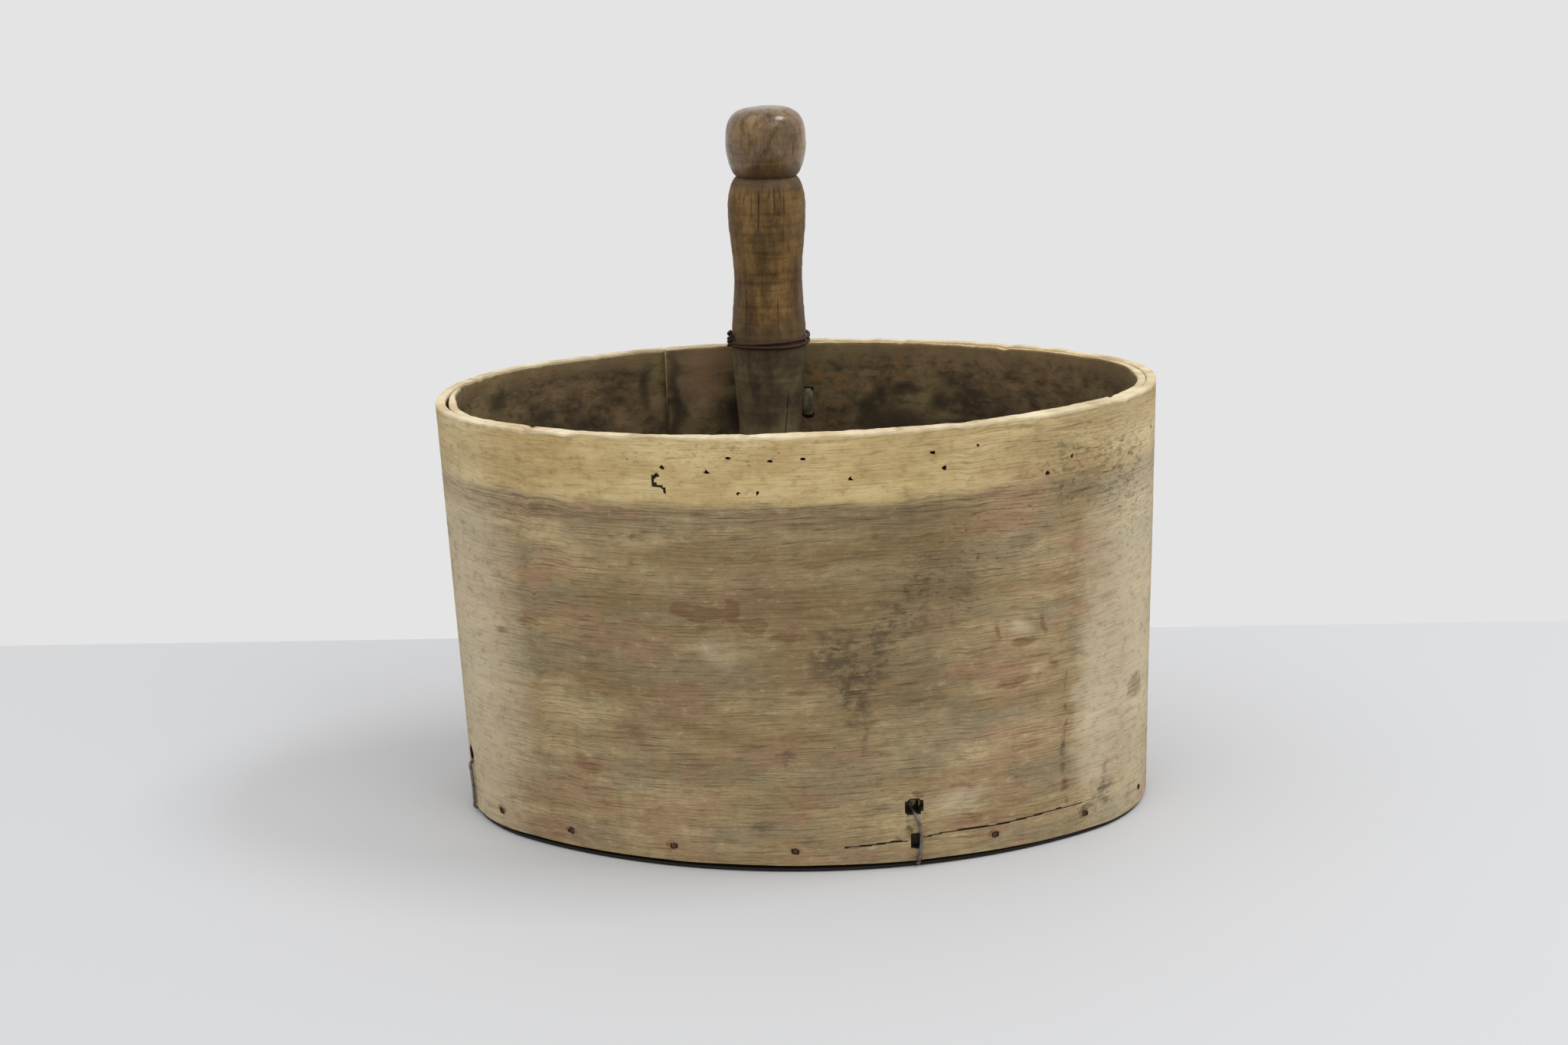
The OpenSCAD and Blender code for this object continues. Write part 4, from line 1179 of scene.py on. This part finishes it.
def root_stitch(index, z, material):
    """A loop of split root: straps that lie on both faces of the wall, and strands through it."""
    out = outward(SCARF_DIR)
    side = sideways(SCARF_DIR)
    up = Vector((0, 0, 1))
    half_t = 0.85 * MM
    high = STITCH_REACH
    edge_out = STITCH_PROUD - half_t - 0.1 * MM
    edge_in = -(WALL_T + STITCH_PROUD - half_t - 0.1 * MM)
    route = [(edge_out, -high * 0.5), (edge_out + 0.1 * MM, 0), (edge_out, high * 0.5), (edge_out - 0.6 * MM, high),
             (-1 * MM, high + 0.3 * MM), (-WALL_T + 1 * MM, high + 0.3 * MM), (edge_in + 0.6 * MM, high),
             (edge_in, high * 0.5), (edge_in - 0.1 * MM, 0), (edge_in, -high * 0.5), (edge_in + 0.6 * MM, -high),
             (-WALL_T + 1 * MM, -high - 0.3 * MM), (-1 * MM, -high - 0.3 * MM), (edge_out - 0.6 * MM, -high)]
    start = place(SCARF_DIR, z)
    route = np.array(route)
    fine = 8
    steps = np.arange(len(route) * fine) / fine
    loop = np.stack([np.interp(steps, np.arange(len(route) + 1), np.append(route[:, k], route[0, k]))
                     for k in (0, 1)], 1)
    for _ in range(6):
        loop = (np.roll(loop, 1, 0) + 2 * loop + np.roll(loop, -1, 0)) / 4
    ahead = np.roll(loop, -1, 0) - np.roll(loop, 1, 0)
    normal = np.stack([ahead[:, 1], -ahead[:, 0]], 1) / np.linalg.norm(ahead, axis=1)[:, None]
    sides = 28
    rings = []
    for k, ((o, h), (n_out, n_up)) in enumerate(zip(loop, normal)):
        through = abs(n_up) > 0.6
        width = STITCH_WIDTH / 2 * (0.72 if through else 1.0)
        ring = []
        for j in range(sides):
            a = 2 * math.pi * j / sides
            fibre = 1 + 0.07 * math.sin(9 * a + index) + 0.03 * math.sin(17 * a + 0.3 * k)
            x = math.copysign(abs(math.cos(a)) ** 0.7, math.cos(a)) * width * fibre
            y = math.sin(a) * half_t * fibre
            ring.append(start + out * (o + n_out * y) + up * (h + n_up * y) + side * x)
        rings.append(ring)
    obj = grid_object(f"root_stitch_{index}_loop", np.array(rings), True, True)
    dress(obj, material, f"root_stitch_{index}")


# ---- Build ----

bentwood = wood_wall()
outer_band(bentwood)
inner_band(bentwood)
handle(wood_handle())

rusty = iron("rusty_wire", (0.062, 0.042, 0.030), (0.075, 0.030, 0.013), 0.55, 0.6)
grey_wire = iron("tie_wire", (0.22, 0.20, 0.18), (0.10, 0.045, 0.02), 0.42, 0.4)
nail_iron = iron("nail_iron", (0.085, 0.055, 0.035), (0.145, 0.068, 0.028), 0.55, 0.7)
lacing = root_material()
board_wood = wood_board()

for tie_name, tie_dir in TIE_DIRS.items():
    tie(tie_name, tie_dir, TIE_BOWS[tie_name], grey_wire)
binding(rusty)

for nail_index, nail_dir in enumerate(NAIL_DIRS, 1):
    board_nail(nail_index, nail_dir, nail_iron)
for nail_name, nail_z in zip(("handle_nail_low", "handle_nail_high"), HANDLE_NAIL_HEIGHTS):
    handle_nail(nail_name, nail_z, nail_iron)
for stitch_index, stitch_z in enumerate(STITCH_HEIGHTS, 1):
    root_stitch(stitch_index, stitch_z, lacing)

bottom_board(board_wood)

# ---- Table, light and camera ----

# The table ends close behind the scoop. Beyond its edge there is only the room's own pale light, so that nothing
# stands between the scoop and a camera behind it.
TABLE_BACK_Y = 0.245

table_mesh = bpy.data.meshes.new("table")
table_mesh.from_pydata([(-4, -3, 0), (4, -3, 0), (4, TABLE_BACK_Y, 0), (-4, TABLE_BACK_Y, 0)], [], [(0, 1, 2, 3)])
table = link("table", table_mesh)
table_mesh.materials.append(plain("table_white", (0.585, 0.592, 0.606), 0.75))


def area_light(name, place_at, aim, size, power):
    """A soft rectangular light that faces a point."""
    data = bpy.data.lights.new(name, "AREA")
    data.shape = "RECTANGLE"
    data.size, data.size_y = size
    data.energy = power
    obj = bpy.data.objects.new(name, data)
    obj.location = place_at
    obj.rotation_euler = (Vector(aim) - Vector(place_at)).to_track_quat("-Z", "Y").to_euler()
    bpy.context.scene.collection.objects.link(obj)


area_light("window", (1.3, -1.5, 1.9), (0, 0, 0.15), (1.4, 1.2), 10)
area_light("lamp", (1.05, 0.0, 2.0), (0, 0, 0.3), (0.75, 0.5), 14)
area_light("ceiling", (-0.9, -0.6, 2.3), (0, 0, 0), (2.4, 2.0), 12.5)
ROOM_LIGHT = 0.775
world = bpy.data.worlds.new("room")
world.use_nodes = True
background = world.node_tree.nodes["Background"]
background.inputs["Color"].default_value = rgb(1, 1, 1)
background.inputs["Strength"].default_value = ROOM_LIGHT
bpy.context.scene.world = world
bpy.context.scene.view_settings.view_transform = "Standard"

CAMERA_AT = Vector((-6.1 * MM, -1150 * MM, 424.7 * MM))
CAMERA_PITCH = 0.253
CAMERA_ROLL = -0.016
CAMERA_SENSOR_MM = 36
CAMERA_LENS_MM = 59.8
camera_data = bpy.data.cameras.new("camera")
camera_data.sensor_width = CAMERA_SENSOR_MM
camera_data.lens = CAMERA_LENS_MM
camera = bpy.data.objects.new("camera", camera_data)
camera.matrix_world = (Matrix.Translation(CAMERA_AT) @ Matrix.Rotation(math.pi / 2 - CAMERA_PITCH, 4, "X")
                       @ Matrix.Rotation(CAMERA_ROLL, 4, "Z"))
bpy.context.scene.collection.objects.link(camera)
bpy.context.scene.camera = camera
